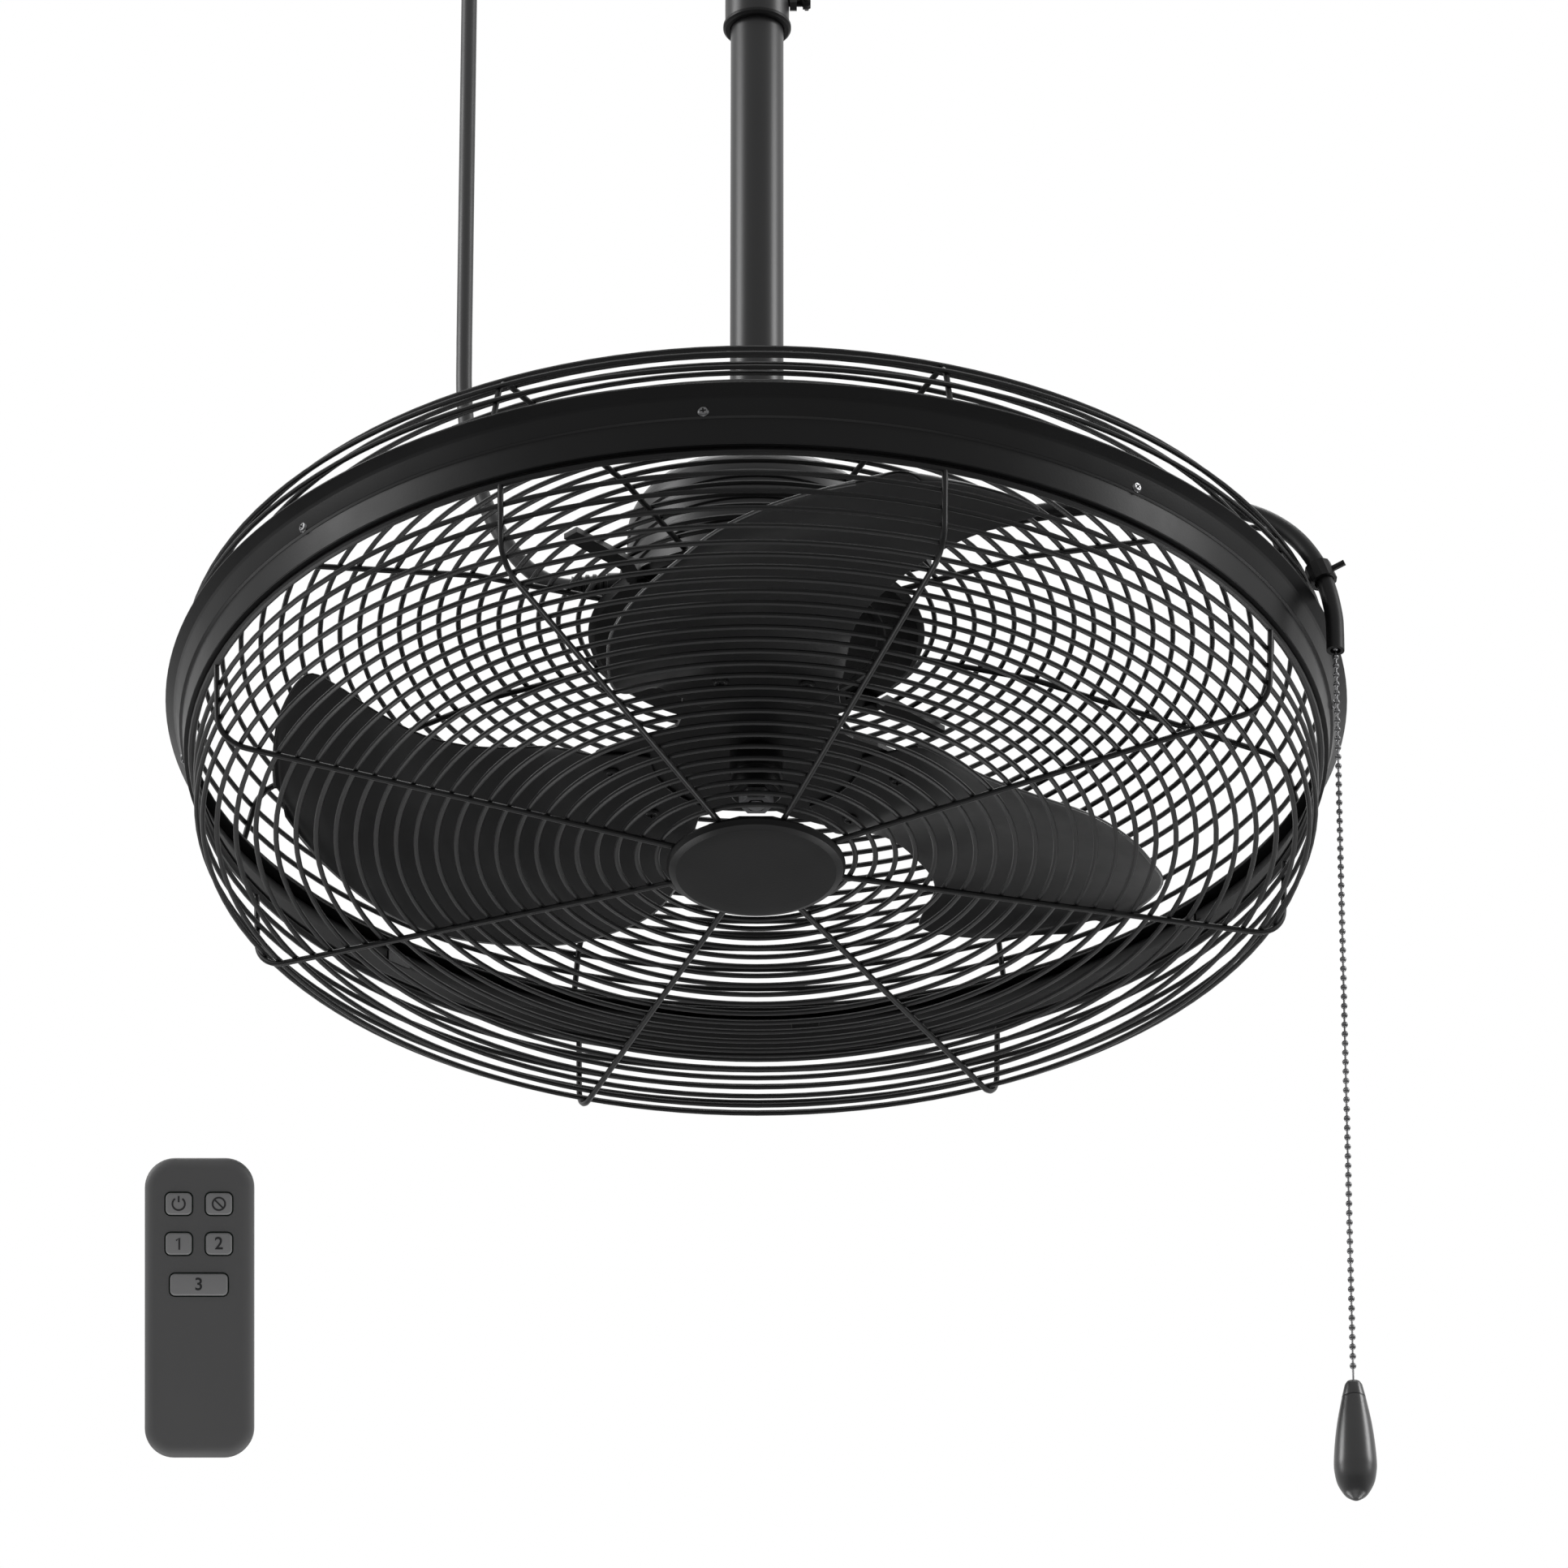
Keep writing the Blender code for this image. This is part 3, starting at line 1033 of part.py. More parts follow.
def make_chain_guide():
    reach = GUIDE_END_R - GUIDE_START_R
    line = [polar(GUIDE_START_R + reach * share, CHAIN_AZIMUTH, above_rim(z)) for share, z in GUIDE_ROUTE]
    tube = wire("chain_guide", line, GUIDE_R, BLACK_PLASTIC, 1)
    outward = polar(1, CHAIN_AZIMUTH)
    longer = [line[0] - outward * GUIDE_R, *line, line[-1] - Vector((0, 0, GUIDE_R))]
    cut(tube, wire("bore", longer, GUIDE_BORE_R, None, 0, False, CUTTERS))

    centre = polar(MOTOR_R + SEAT * 2 + SWITCH_SIZE[1] / 2, CHAIN_AZIMUTH, line[0].z)
    turn = Matrix.Rotation(math.radians(CHAIN_AZIMUTH + 90), 4, "Z")
    box("pull_switch", (SWITCH_SIZE[0], SWITCH_SIZE[1] - SEAT, SWITCH_SIZE[2]), centre, BLACK_PLASTIC, turn)

    at = (line[-5] + line[-4]) / 2
    ring_r = clear_of(GUIDE_R, 12) + CLIP_EASE
    run = (line[-4] - line[-5]).normalized()
    clamp = turned("clamp", [(ring_r + CLIP_PLATE_T, CLIP_W / 2), (ring_r + CLIP_PLATE_T, -CLIP_W / 2),
                             (ring_r, -CLIP_W / 2), (ring_r, CLIP_W / 2)], 12, BLACK_PAINT,
                   pointing(run, at), closed=True)
    side = run.cross(Vector((0, 0, 1)).cross(outward)).normalized()
    if side.dot(outward) < 0:
        side = -side
    peg_start = at + side * (ring_r + CLIP_PLATE_T * 0.5)
    peg = rod("peg", CLIP_PLATE_T, peg_start, peg_start + side * GUIDE_R * 1.6, BLACK_PAINT, 8)
    fuse("guide_clip", [clamp, peg], BLACK_PAINT)


def make_pull_chain():
    top = above_rim(GUIDE_ROUTE[-1][1]) + CHAIN_IN_GUIDE
    low = above_rim(GUIDE_ROUTE[-1][1]) - CHAIN_DROP
    at = polar(GUIDE_END_R, CHAIN_AZIMUTH)
    rod("pull_chain", CHAIN_BEAD_R, (at.x, at.y, top), (at.x, at.y, low), CHAIN_METAL, 6)
    bell_top = low - SEAT
    turned("chain_bell", [(0, bell_top), (BELL_R * 0.6, bell_top), (BELL_R, bell_top - BELL_L * 0.35),
                          (BELL_R, bell_top - BELL_L), (0, bell_top - BELL_L)], 10, CHAIN_METAL,
           Matrix.Translation((at.x, at.y, 0)))
    top = bell_top - BELL_L - SEAT
    turned("pull_knob", [(PULL_R * r, top - PULL_L * z) for r, z in PULL_FORM], ROUND_STEPS, PULL_LACQUER,
           Matrix.Translation((at.x, at.y, 0)))


def make_cord():
    """The power cord, its strain relief on the motor, and its run up to the ceiling cup."""
    inside = (-(MOTOR_R - MOTOR_WALL) - SEAT / 2, CORD_ENTRY_Z)
    bend = [Vector((x, 0, above_rim(z))) for x, z in (inside, *CORD_ROUTE)]
    end = Vector((CORD_X, 0, -CUP_H + CUP_WALL))
    wire("power_cord", [*smooth(bend, CORD_SPAN_STEPS), end], CORD_R, CORD_RUBBER, 2)

    bore = CORD_R + SEAT
    start = MOTOR_R + SEAT
    profile = [(bore, RELIEF_L), (RELIEF_TIP_R, RELIEF_L), (RELIEF_TIP_R * 1.15, RELIEF_FLANGE_T + 0.004),
               (RELIEF_FLANGE_R * 0.85, RELIEF_FLANGE_T), (RELIEF_FLANGE_R, RELIEF_FLANGE_T),
               (RELIEF_FLANGE_R, 0), (bore, 0)]
    turned("strain_relief", profile, SMALL_STEPS, BLACK_PLASTIC,
           pointing((-1, 0, 0), (-start, 0, above_rim(CORD_ENTRY_Z))), closed=True)


def remote_place():
    """The remote's own frame: X across it, Y up it, Z out of its face, with its middle at REMOTE_AT."""
    tilt = math.radians(REMOTE_TILT)
    turn = Matrix(((1, 0, 0, 0),
                   (0, -math.sin(tilt), -math.cos(tilt), 0),
                   (0, math.cos(tilt), -math.sin(tilt), 0),
                   (0, 0, 0, 1)))
    x, y, z = REMOTE_AT
    return Matrix.Translation((x, y, above_rim(z))) @ turn


def remote_slab(name, width, length, corner, low, high, paint, steps=3, centre=(0.0, 0.0), holes=()):
    outline = rounded_rectangle(width, length, corner, steps, centre)
    return sheet_of(name, outline, high - low, paint, Matrix.Translation((0, 0, (low + high) / 2)), holes)


def make_remote():
    place = remote_place()
    half = REMOTE_T / 2
    wall = REMOTE_SHELL
    seam = SEAT / 2
    inner = (REMOTE_W - 2 * wall, REMOTE_L - 2 * wall, REMOTE_CORNER - wall)
    front = remote_slab("remote_front", REMOTE_W, REMOTE_L, REMOTE_CORNER, seam, half, REMOTE_SHELL_PLASTIC)
    hollow = remote_slab("hollow", *inner, -half, half - wall, None)
    back = remote_slab("remote_back", REMOTE_W, REMOTE_L, REMOTE_CORNER, -half, -seam, REMOTE_SHELL_PLASTIC)
    back_hollow = remote_slab("back_hollow", *inner, -half + wall, half, None)

    buttons = (
        ("button_power", -BUTTON_X, BUTTON_ROWS[0], BUTTON_W),
        ("button_off", BUTTON_X, BUTTON_ROWS[0], BUTTON_W),
        ("button_1", -BUTTON_X, BUTTON_ROWS[1], BUTTON_W),
        ("button_2", BUTTON_X, BUTTON_ROWS[1], BUTTON_W),
        ("button_3", 0.0, BUTTON_ROWS[2], BUTTON_WIDE),
    )
    holes = []
    made = []
    for name, x, y, width in buttons:
        holes.append(remote_slab("hole", width + 2 * BUTTON_GAP, BUTTON_H + 2 * BUTTON_GAP,
                                 BUTTON_CORNER + BUTTON_GAP, 0, REMOTE_T, None, 1, (x, y)))
        top = half + BUTTON_PROUD
        made.append(remote_slab(name, width, BUTTON_H, BUTTON_CORNER, top - BUTTON_LENGTH, top,
                                BUTTON_RUBBER, 1, (x, y)))
    front = cut(front, hollow)
    front = cut(front, group("button_holes", holes, None))

    back = cut(back, back_hollow)
    back = cut(back, remote_slab("door_hole", DOOR_W + 2 * SEAT, DOOR_L + 2 * SEAT, DOOR_CORNER + SEAT,
                                 -REMOTE_T, 0, None, 1, (0, DOOR_Y)))
    door = remote_slab("remote_battery_door", DOOR_W, DOOR_L, DOOR_CORNER, -half, -half + DOOR_T,
                       REMOTE_SHELL_PLASTIC, 1, (0, DOOR_Y))

    board_top = half + BUTTON_PROUD - BUTTON_LENGTH - BUTTON_TRAVEL - SEAT
    board_high = inner[1] / 2 - REMOTE_BOARD_EDGE
    board_low = DOOR_Y + CELL_L / 2 + REMOTE_BOARD_EDGE
    board = remote_slab("remote_board", inner[0] - 2 * SEAT, board_high - board_low, inner[2],
                        board_top - BOARD_T, board_top, CIRCUIT, 1, (0, (board_high + board_low) / 2))
    cell_z = -half + wall + SEAT + CELL_R
    cells = []
    for name, sign in (("remote_cell_left", -1), ("remote_cell_right", 1)):
        x = sign * (CELL_R + SEAT)
        cells.append(rod(name, CELL_R, (x, DOOR_Y - CELL_L / 2, cell_z), (x, DOOR_Y + CELL_L / 2, cell_z),
                         CELL_WRAP, 14))
    pieces = [front, back, door, board, *cells, *made]
    for piece in pieces:
        piece.matrix_world = place @ piece.matrix_world


def main():
    make_ceiling_fitting()
    make_drop_rod()
    make_motor()
    make_guard_straps()
    make_rear_guard()
    make_rim()
    make_front_guard()
    make_badge()
    make_hub()
    make_chain_guide()
    make_pull_chain()
    make_cord()
    make_remote()
    bpy.data.collections.remove(CUTTERS)
    bpy.context.view_layer.update()


main()
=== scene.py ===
"""Looks of a rod-hung fan in a wire cage: fine wire, sheet metal, beads and plastics.

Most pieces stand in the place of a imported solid, and all of them ride on its bodies.
"""
import json
import math

import bmesh
import bpy
from mathutils import Matrix, Vector


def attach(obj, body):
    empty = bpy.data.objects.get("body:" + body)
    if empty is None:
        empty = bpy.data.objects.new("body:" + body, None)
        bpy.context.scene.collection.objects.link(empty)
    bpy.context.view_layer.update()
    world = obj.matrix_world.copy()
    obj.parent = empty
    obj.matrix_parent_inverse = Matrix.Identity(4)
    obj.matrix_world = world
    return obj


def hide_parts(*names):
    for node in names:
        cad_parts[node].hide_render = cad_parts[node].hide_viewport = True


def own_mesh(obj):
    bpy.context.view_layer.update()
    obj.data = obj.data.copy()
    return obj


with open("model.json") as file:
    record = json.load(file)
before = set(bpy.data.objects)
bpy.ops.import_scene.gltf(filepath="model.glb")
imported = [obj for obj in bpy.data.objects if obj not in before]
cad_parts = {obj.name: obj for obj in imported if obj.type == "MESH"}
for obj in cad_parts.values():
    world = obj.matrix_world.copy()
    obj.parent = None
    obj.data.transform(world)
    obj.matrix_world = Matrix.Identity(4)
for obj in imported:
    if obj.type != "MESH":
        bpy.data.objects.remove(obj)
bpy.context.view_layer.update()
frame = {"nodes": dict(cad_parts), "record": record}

# Sizes that the solids share, in metres. The top of the ceiling plate is at height 0, and a height
# that goes through above_rim counts from the middle of the rim.
SEAT = 0.0003
RIM_Z = -0.640

# Ceiling plate
PLATE_R = 0.055
PLATE_T = 0.005
PLATE_HOLE_R = 0.0026
PLATE_HOLE_CIRCLE_R = 0.042
SOCKET_R = 0.0220
SOCKET_BORE_R = 0.0165
SOCKET_FLOOR = -0.008
SOCKET_LOW = -0.045
SOCKET_FLARE = 0.002
TOP_BOLT_Z = -0.028
TOP_BOLT_BORE_R = 0.0033

# Drop rod
OUTER_TUBE_END = 0.424
OUTER_TUBE_R = 0.0162
OUTER_TUBE_BORE = 0.0146
OUTER_TUBE_TOP = -0.0083
INNER_TUBE_R = 0.01335
INNER_TUBE_BORE = 0.01155
INNER_TUBE_TOP = 0.484
BUSH_R = 0.0172
BUSH_T = 0.0030
BUSH_SLEEVE = 0.008
BUSH_CHAMFER = 0.0012

# Lock screw
LOCK_RISE = 0.0140
LOCK_BORE_R = 0.0024
LOCK_SCREW_R = 0.0021
LOCK_NUT_R = 0.0046
LOCK_NUT_BORE_R = 0.0028
LOCK_NUT_T = 0.0036
LOCK_KNOB_R = 0.0034
LOCK_KNOB_T = 0.0040
LOCK_STEM = 0.0030
THREAD_PITCH = 0.0007
THREAD_DEPTH = 0.00025

# Coupling and motor
COUPLING_FLANGE_R = 0.030
COUPLING_FLANGE_T = 0.0045
COUPLING_R = 0.01815
COUPLING_TOP = 0.1813
COUPLING_FLOOR = 0.008
COUPLING_NECK = 0.003
COUPLING_SCREW_R = 0.0245
MOTOR_TOP = 0.137
MOTOR_R = 0.064
MOTOR_SHOULDER = 0.030
MOTOR_WALL = 0.0020
MOTOR_FLANGE_R = 0.0730
MOTOR_FLANGE_T = 0.0030
MOTOR_SCREW_R = 0.0685
PLATE_Z = 0.0545
FRONT_PLATE_R = 0.083
FRONT_PLATE_T = 0.0048
SHAFT_HOLE_R = 0.0052

# Cage and rim
RIB_COUNT = 8
RIB_AZIMUTH = 19.0
RIB_R = 0.0015
RING_R = 0.0013
RING_BITE = 0.0008
EDGE_RING_R = 0.0018
CORNER_R = 0.016
REAR_FLAT_R = 0.145
REAR_CORNER = (0.277, 0.0420)
FRONT_CORNER = (0.275, -0.0620)
FRONT_FACE_Z = -0.0745
FRONT_RIB_START = 0.024
FRONT_EDGE_INSET = 0.0135
RIM_R = 0.290
RIM_H = 0.026
RIM_TOP_LIP = 0.009
RIM_SHEET = 0.0012
RIM_TURN_IN = 0.0060
# The rim's outer face from its top lip down: out from RIM_R, and height over the rim's middle
RIM_FORM = ((-0.0090, 0.0130), (0.0, 0.0130), (0.0, 0.0122), (-0.0040, 0.0084), (-0.0047, 0.0068),
            (-0.0070, -0.0014), (-0.0085, -0.0022), (-0.0095, -0.0158))
RIM_SCREW_COUNT = 8
RIM_SCREW_AZIMUTH = 265.0
RIM_SCREW_R = 0.2828
RIM_SCREW_Z = 0.0010
RIM_CLIP_H = 0.0070
RIM_CLIP_W = 0.014
RIM_CLIP_T = 0.0016
BADGE_R = 0.0437
BADGE_T = 0.0050
BADGE_SHEET = 0.0015

# Blades and hub
BLADE_T = 0.0016
BLADE_Z = -0.0140
BLADE_CAMBER = 0.0050
BLADE_CAMBER_FROM = 0.26
BLADE_FLAT_R = 0.080
BLADE_TIP_R = 0.242
BLADE_SCREW_RADIUS = 0.072
BLADE_SCREW_ANGLES = (16.0, 50.0)
HUB_R = 0.0130
HUB_TOP = 0.012
HUB_BOTTOM = -0.036
HUB_BORE = 0.0050
HUB_GROOVE = 0.0012
SPIDER_T = 0.0025
SPIDER_ARM = 27.0
SPIDER_DIP_R = 0.046
BLADE_COUNT = 3
BLADE_SPACING = 360.0 / BLADE_COUNT

# Chain guide and pull
CHAIN_AZIMUTH = -20.0
GUIDE_R = 0.0044
GUIDE_BORE_R = 0.0027
GUIDE_END_R = 0.2985
CHAIN_TOP = -0.0095
CHAIN_LOW = -0.4250
BELL_L = 0.0090
PULL_R = 0.0101
PULL_L = 0.0540
BEAD_R = 0.0016
BEAD_PITCH = 0.0052
LINK_R = 0.0005

# Power cord
CORD_R = 0.0040
CORD_X = -0.1460
CORD_ENTRY_Z = 0.0850
CORD_TOP = -0.022
RELIEF_L = 0.027
RELIEF_BORE_R = 0.0043
RELIEF_RIBS = 5
RELIEF_PITCH = 0.0036
RELIEF_FLANGE_R = 0.0085
RELIEF_FLANGE_T = 0.0030

# Remote
REMOTE_W = 0.052
REMOTE_L = 0.143
REMOTE_T = 0.019
REMOTE_CORNER = 0.014
REMOTE_AT = (-0.266, 0.0, -0.326)
REMOTE_TILT = 32.0
REMOTE_BEVEL = 0.0034
REMOTE_BEVEL_LEAN = 1.75
REMOTE_BACK_EDGE = 0.0040
REMOTE_SEAM_EDGE = 0.0005
BUTTON_W = 0.0125
BUTTON_H = 0.0104
BUTTON_WIDE = 0.0275
BUTTON_CORNER = 0.0024
BUTTON_PROUD = 0.0012
BUTTON_DEPTH = 0.0044
BUTTON_X = 0.0096
BUTTON_ROWS = (0.0499, 0.0308, 0.0113)
WELL_GAP = 0.0007
WELL_DEPTH = 0.0054
MARK_LINE = 0.0009
MARK_RING_R = 0.0030
MARK_LETTER = 0.0084
DOOR_W = 0.030
DOOR_L = 0.046
DOOR_T = 0.0016
DOOR_CORNER = 0.0017
DOOR_Y = -0.036

# Fineness of the surfaces: points round a turned piece and a wire, and between two points of a line
FINE = 128
ROUND = 64
SMALL_ROUND = 24
RIM_STEPS = 192
WIRE_SIDES = 8
RING_PITCH = 0.0098
CORNER_STEPS = 3
EDGE_STEPS = 6
LINE_STEPS = 5
BLADE_ACROSS = 18

# Angles in degrees from which an edge shows as a sharp one
TURNED_CREASE = 32.0
TUBE_CREASE = 50.0
CUT_CREASE = 28.0
KNOB_CREASE = 30.0
BLADE_CREASE = 35.0

TINY = 1e-7


def above_rim(z):
    return RIM_Z + z


def polar(radius, azimuth, height=0.0):
    turn = math.radians(azimuth)
    return Vector((radius * math.cos(turn), radius * math.sin(turn), height))


# Materials

BROAD_SCALE = 22.0
NOISE_LOW = 0.3
NOISE_HIGH = 0.7
ROUGH_SPREAD = 0.05
COAT_ROUGHNESS = 0.12
SKIN_DEPTH = 0.0002


class Nodes:
    """One material and short names for its nodes."""

    def __init__(self, name):
        self.material = bpy.data.materials.new(name)
        self.material.use_nodes = True
        self.tree = self.material.node_tree
        self.shader = self.tree.nodes["Principled BSDF"]
        self.place = self.tree.nodes.new("ShaderNodeTexCoord").outputs["Object"]

    def link(self, out, socket):
        self.tree.links.new(out, socket)

    def noise(self, scale, detail, roughness, stretch):
        node = self.tree.nodes.new("ShaderNodeTexNoise")
        node.inputs["Scale"].default_value = scale
        node.inputs["Detail"].default_value = detail
        node.inputs["Roughness"].default_value = roughness
        source = self.place
        if stretch:
            mapping = self.tree.nodes.new("ShaderNodeMapping")
            mapping.inputs["Scale"].default_value = stretch
            self.link(source, mapping.inputs["Vector"])
            source = mapping.outputs["Vector"]
        self.link(source, node.inputs["Vector"])
        return node.outputs["Fac"]

    def spread(self, source, low, high):
        """Spreads the usual range of a noise over low to high."""
        node = self.tree.nodes.new("ShaderNodeMapRange")
        node.inputs["From Min"].default_value = NOISE_LOW
        node.inputs["From Max"].default_value = NOISE_HIGH
        node.inputs["To Min"].default_value = low
        node.inputs["To Max"].default_value = high
        self.link(source, node.inputs["Value"])
        return node.outputs["Result"]

    def mix(self, factor, first, second):
        node = self.tree.nodes.new("ShaderNodeMix")
        node.data_type = "RGBA"
        self.link(factor, node.inputs["Factor"])
        node.inputs["A"].default_value = (*first, 1.0)
        node.inputs["B"].default_value = (*second, 1.0)
        return node.outputs["Result"]

    def bump(self, height, strength, distance):
        node = self.tree.nodes.new("ShaderNodeBump")
        node.inputs["Strength"].default_value = strength
        node.inputs["Distance"].default_value = distance
        self.link(height, node.inputs["Height"])
        self.link(node.outputs["Normal"], self.shader.inputs["Normal"])


def coating(name, colour, rough, metal=0.0, vary=0.12, grain=700.0, bump=0.10, coat=0.0, stretch=None,
            gloss=0.5):
    """Paint, plastic or plain metal: colour and gloss that vary a little, over a fine skin."""
    nodes = Nodes(name)
    broad = nodes.noise(BROAD_SCALE, 4.0, 0.6, stretch)
    dark = tuple(c * (1 - vary) for c in colour)
    light = tuple(c * (1 + vary) for c in colour)
    shade = nodes.mix(nodes.spread(broad, 0.0, 1.0), dark, light)
    nodes.link(shade, nodes.shader.inputs["Base Color"])
    fine = nodes.noise(grain, 2.0, 0.5, stretch)
    roughness = nodes.spread(broad, rough - ROUGH_SPREAD, rough + ROUGH_SPREAD)
    nodes.link(roughness, nodes.shader.inputs["Roughness"])
    nodes.shader.inputs["Metallic"].default_value = metal
    nodes.shader.inputs["Specular IOR Level"].default_value = gloss
    nodes.shader.inputs["Coat Weight"].default_value = coat
    nodes.shader.inputs["Coat Roughness"].default_value = COAT_ROUGHNESS
    nodes.bump(fine, bump, SKIN_DEPTH)
    return nodes.material


BLACK = coating("black_powder_coat", (0.0048, 0.0048, 0.0050), 0.36, bump=0.14, grain=900.0, gloss=0.12)
WIRE = coating("black_wire_coat", (0.0070, 0.0070, 0.0072), 0.38, grain=1200.0, gloss=0.16)
BLADE = coating("blade_enamel", (0.0058, 0.0058, 0.0060), 0.36, bump=0.06, grain=500.0, gloss=0.13)
MOTOR = coating("motor_enamel", (0.013, 0.013, 0.0134), 0.40, metal=0.1, bump=0.16, grain=800.0,
                gloss=0.24)
ROD = coating("rod_satin", (0.013, 0.013, 0.0135), 0.36, metal=0.08, vary=0.18, grain=420.0, bump=0.05,
              stretch=(1.0, 1.0, 0.05), gloss=0.3)
PLASTIC = coating("black_moulding", (0.006, 0.006, 0.0062), 0.42, vary=0.08, grain=1500.0, bump=0.12,
                  gloss=0.14)
STEEL = coating("bright_steel", (0.36, 0.36, 0.37), 0.32, metal=1.0, grain=600.0, bump=0.05)
ZINC = coating("zinc_plate", (0.30, 0.30, 0.31), 0.38, metal=1.0, vary=0.2, grain=500.0, bump=0.08)
BEADS = coating("bead_metal", (0.10, 0.10, 0.102), 0.28, metal=1.0, vary=0.2, grain=900.0, bump=0.05)
LACQUER = coating("pull_gloss", (0.016, 0.016, 0.0165), 0.32, vary=0.1, grain=300.0, bump=0.03, gloss=0.4)
RUBBER = coating("cord_sleeve", (0.022, 0.022, 0.0225), 0.46, vary=0.10, grain=1400.0, gloss=0.35)
SHELL = coating("remote_moulding", (0.027, 0.027, 0.0277), 0.60, vary=0.06, grain=2200.0, bump=0.16,
                gloss=0.8)
# The hem's paint is a lighter, glossier copy of the blade enamel: a painted highlight along the blade's low
# edge
HEM_HIGHLIGHT_PAINT = coating("blade_hem_painted_highlight", (0.020, 0.020, 0.0205), 0.30, vary=0.1, bump=0.04, gloss=0.7)
BUTTON = coating("button_silicone", (0.150, 0.150, 0.152), 0.58, vary=0.06, grain=1800.0)
PRINT = coating("symbol_ink", (0.016, 0.016, 0.017), 0.55, vary=0.05, grain=1500.0, bump=0.03, gloss=0.2)
COPPER = coating("copper_enamel", (0.45, 0.17, 0.07), 0.35, metal=1.0, vary=0.2, grain=900.0, bump=0.15)
PLATES = coating("stacked_plates", (0.12, 0.12, 0.125), 0.45, metal=0.9, vary=0.15, grain=1600.0, bump=0.2,
                 stretch=(0.05, 0.05, 1.0))
BOARD = coating("circuit_lacquer", (0.012, 0.060, 0.030), 0.40, vary=0.15, bump=0.05)
WRAP = coating("cell_sleeve", (0.06, 0.06, 0.065), 0.35, vary=0.1, grain=600.0, bump=0.03, coat=0.3)

SLOT_LOOKS = {
    "black_paint": BLACK, "wire_paint": WIRE, "blade_paint": BLADE, "motor_paint": MOTOR, "rod_paint": ROD,
    "black_plastic": PLASTIC, "steel": STEEL, "zinc": ZINC, "chain_metal": BEADS, "pull_lacquer": LACQUER,
    "cord_rubber": RUBBER, "remote_shell_plastic": SHELL, "button_rubber": BUTTON, "copper": COPPER,
    "lamination": PLATES, "circuit": BOARD, "cell_wrap": WRAP,
}
for part in frame["record"]["subparts"]:
    node = frame["nodes"][part["node"]]
    for holder in node.material_slots:
        holder.material = SLOT_LOOKS[part["material_slot"]]


# Objects and meshes


def added(name, data):
    """A new object in the scene."""
    made = bpy.data.objects.new(name, data)
    bpy.context.scene.collection.objects.link(made)
    return made


def applied(holder, *helpers):
    """The mesh of an object after its modifiers. The object and its helpers go."""
    mesh = bpy.data.meshes.new_from_object(holder.evaluated_get(bpy.context.evaluated_depsgraph_get()))
    for each in (holder, *helpers):
        bpy.data.objects.remove(each, do_unlink=True)
    return mesh


def creased(mesh, angle):
    """The mesh, shaded smooth with its real edges sharp."""
    mesh.shade_smooth()
    mesh.set_sharp_from_angle(angle=math.radians(angle))
    return mesh


def shell_of(bm, crease=TURNED_CREASE):
    """A finished mesh from a bmesh, with its faces outwards."""
    bmesh.ops.remove_doubles(bm, verts=bm.verts, dist=0.000001)
    bmesh.ops.recalc_face_normals(bm, faces=bm.faces)
    mesh = bpy.data.meshes.new("shell")
    bm.to_mesh(mesh)
    bm.free()
    return creased(mesh, crease)


def joined(meshes):
    """Several (mesh, matrix) pairs or meshes as one mesh."""
    bm = bmesh.new()
    for item in meshes:
        mesh, place = item if isinstance(item, tuple) else (item, Matrix.Identity(4))
        moved = mesh.copy()
        moved.transform(place)
        bm.from_mesh(moved)
        bpy.data.meshes.remove(moved)
    mesh = bpy.data.meshes.new("joined")
    bm.to_mesh(mesh)
    bm.free()
    return mesh


def piece(name, mesh, look, body, slot, *nodes, place=None):
    """An object of the fan that rides on a body, and stands for the nodes named."""
    mesh.name = name
    mesh.materials.clear()
    mesh.materials.append(look)
    if place is not None:
        mesh.transform(place)
    made = added(name, mesh)
    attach(made, body)
    if nodes:
        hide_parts(*nodes)
    return made


def pointing(direction, at):
    """Places a piece that runs along +Z so that it runs along direction from at."""
    turn = Vector((0, 0, 1)).rotation_difference(Vector(direction).normalized()).to_matrix().to_4x4()
    return Matrix.Translation(at) @ turn


# Shapes


def soften(points, radius, closed=False):
    """Rounds the corners of a flat outline, each with at most the given radius."""
    points = [Vector(p[:2]) for p in points]
    count = len(points)
    made = []
    for i, corner in enumerate(points):
        if not closed and i in (0, count - 1):
            made.append(corner)
            continue
        to_last = points[i - 1] - corner
        to_next = points[(i + 1) % count] - corner
        if to_last.length < TINY or to_next.length < TINY:
            continue
        half = to_last.angle(to_next) / 2
        if half > math.radians(88) or half < math.radians(2):
            made.append(corner)
            continue
        reach = min(radius / math.tan(half), to_last.length * 0.45, to_next.length * 0.45)
        start = corner + to_last.normalized() * reach
        end = corner + to_next.normalized() * reach
        for step in range(CORNER_STEPS + 1):
            t = step / CORNER_STEPS
            made.append(start * (1 - t) ** 2 + corner * 2 * t * (1 - t) + end * t ** 2)
    return made


def turned(profile, steps=ROUND, closed=False, soft=0.0):
    """Turns (radius, height) points about Z, with their corners rounded by soft."""
    if soft:
        profile = soften(profile, soft, closed)
    bm = bmesh.new()
    columns = []
    for i in range(steps):
        turn = 2 * math.pi * i / steps
        columns.append([bm.verts.new((max(r, 0.0) * math.cos(turn), max(r, 0.0) * math.sin(turn), z))
                        for r, z in profile])
    count = len(profile)
    for i in range(steps):
        here = columns[i]
        there = columns[(i + 1) % steps]
        for j in range(count if closed else count - 1):
            k = (j + 1) % count
            if max(profile[j][0], profile[k][0]) > TINY:
                bm.faces.new((here[j], here[k], there[k], there[j]))
    bmesh.ops.remove_doubles(bm, verts=bm.verts, dist=0.0000005)
    bmesh.ops.dissolve_degenerate(bm, edges=bm.edges, dist=0.0000005)
    return shell_of(bm)


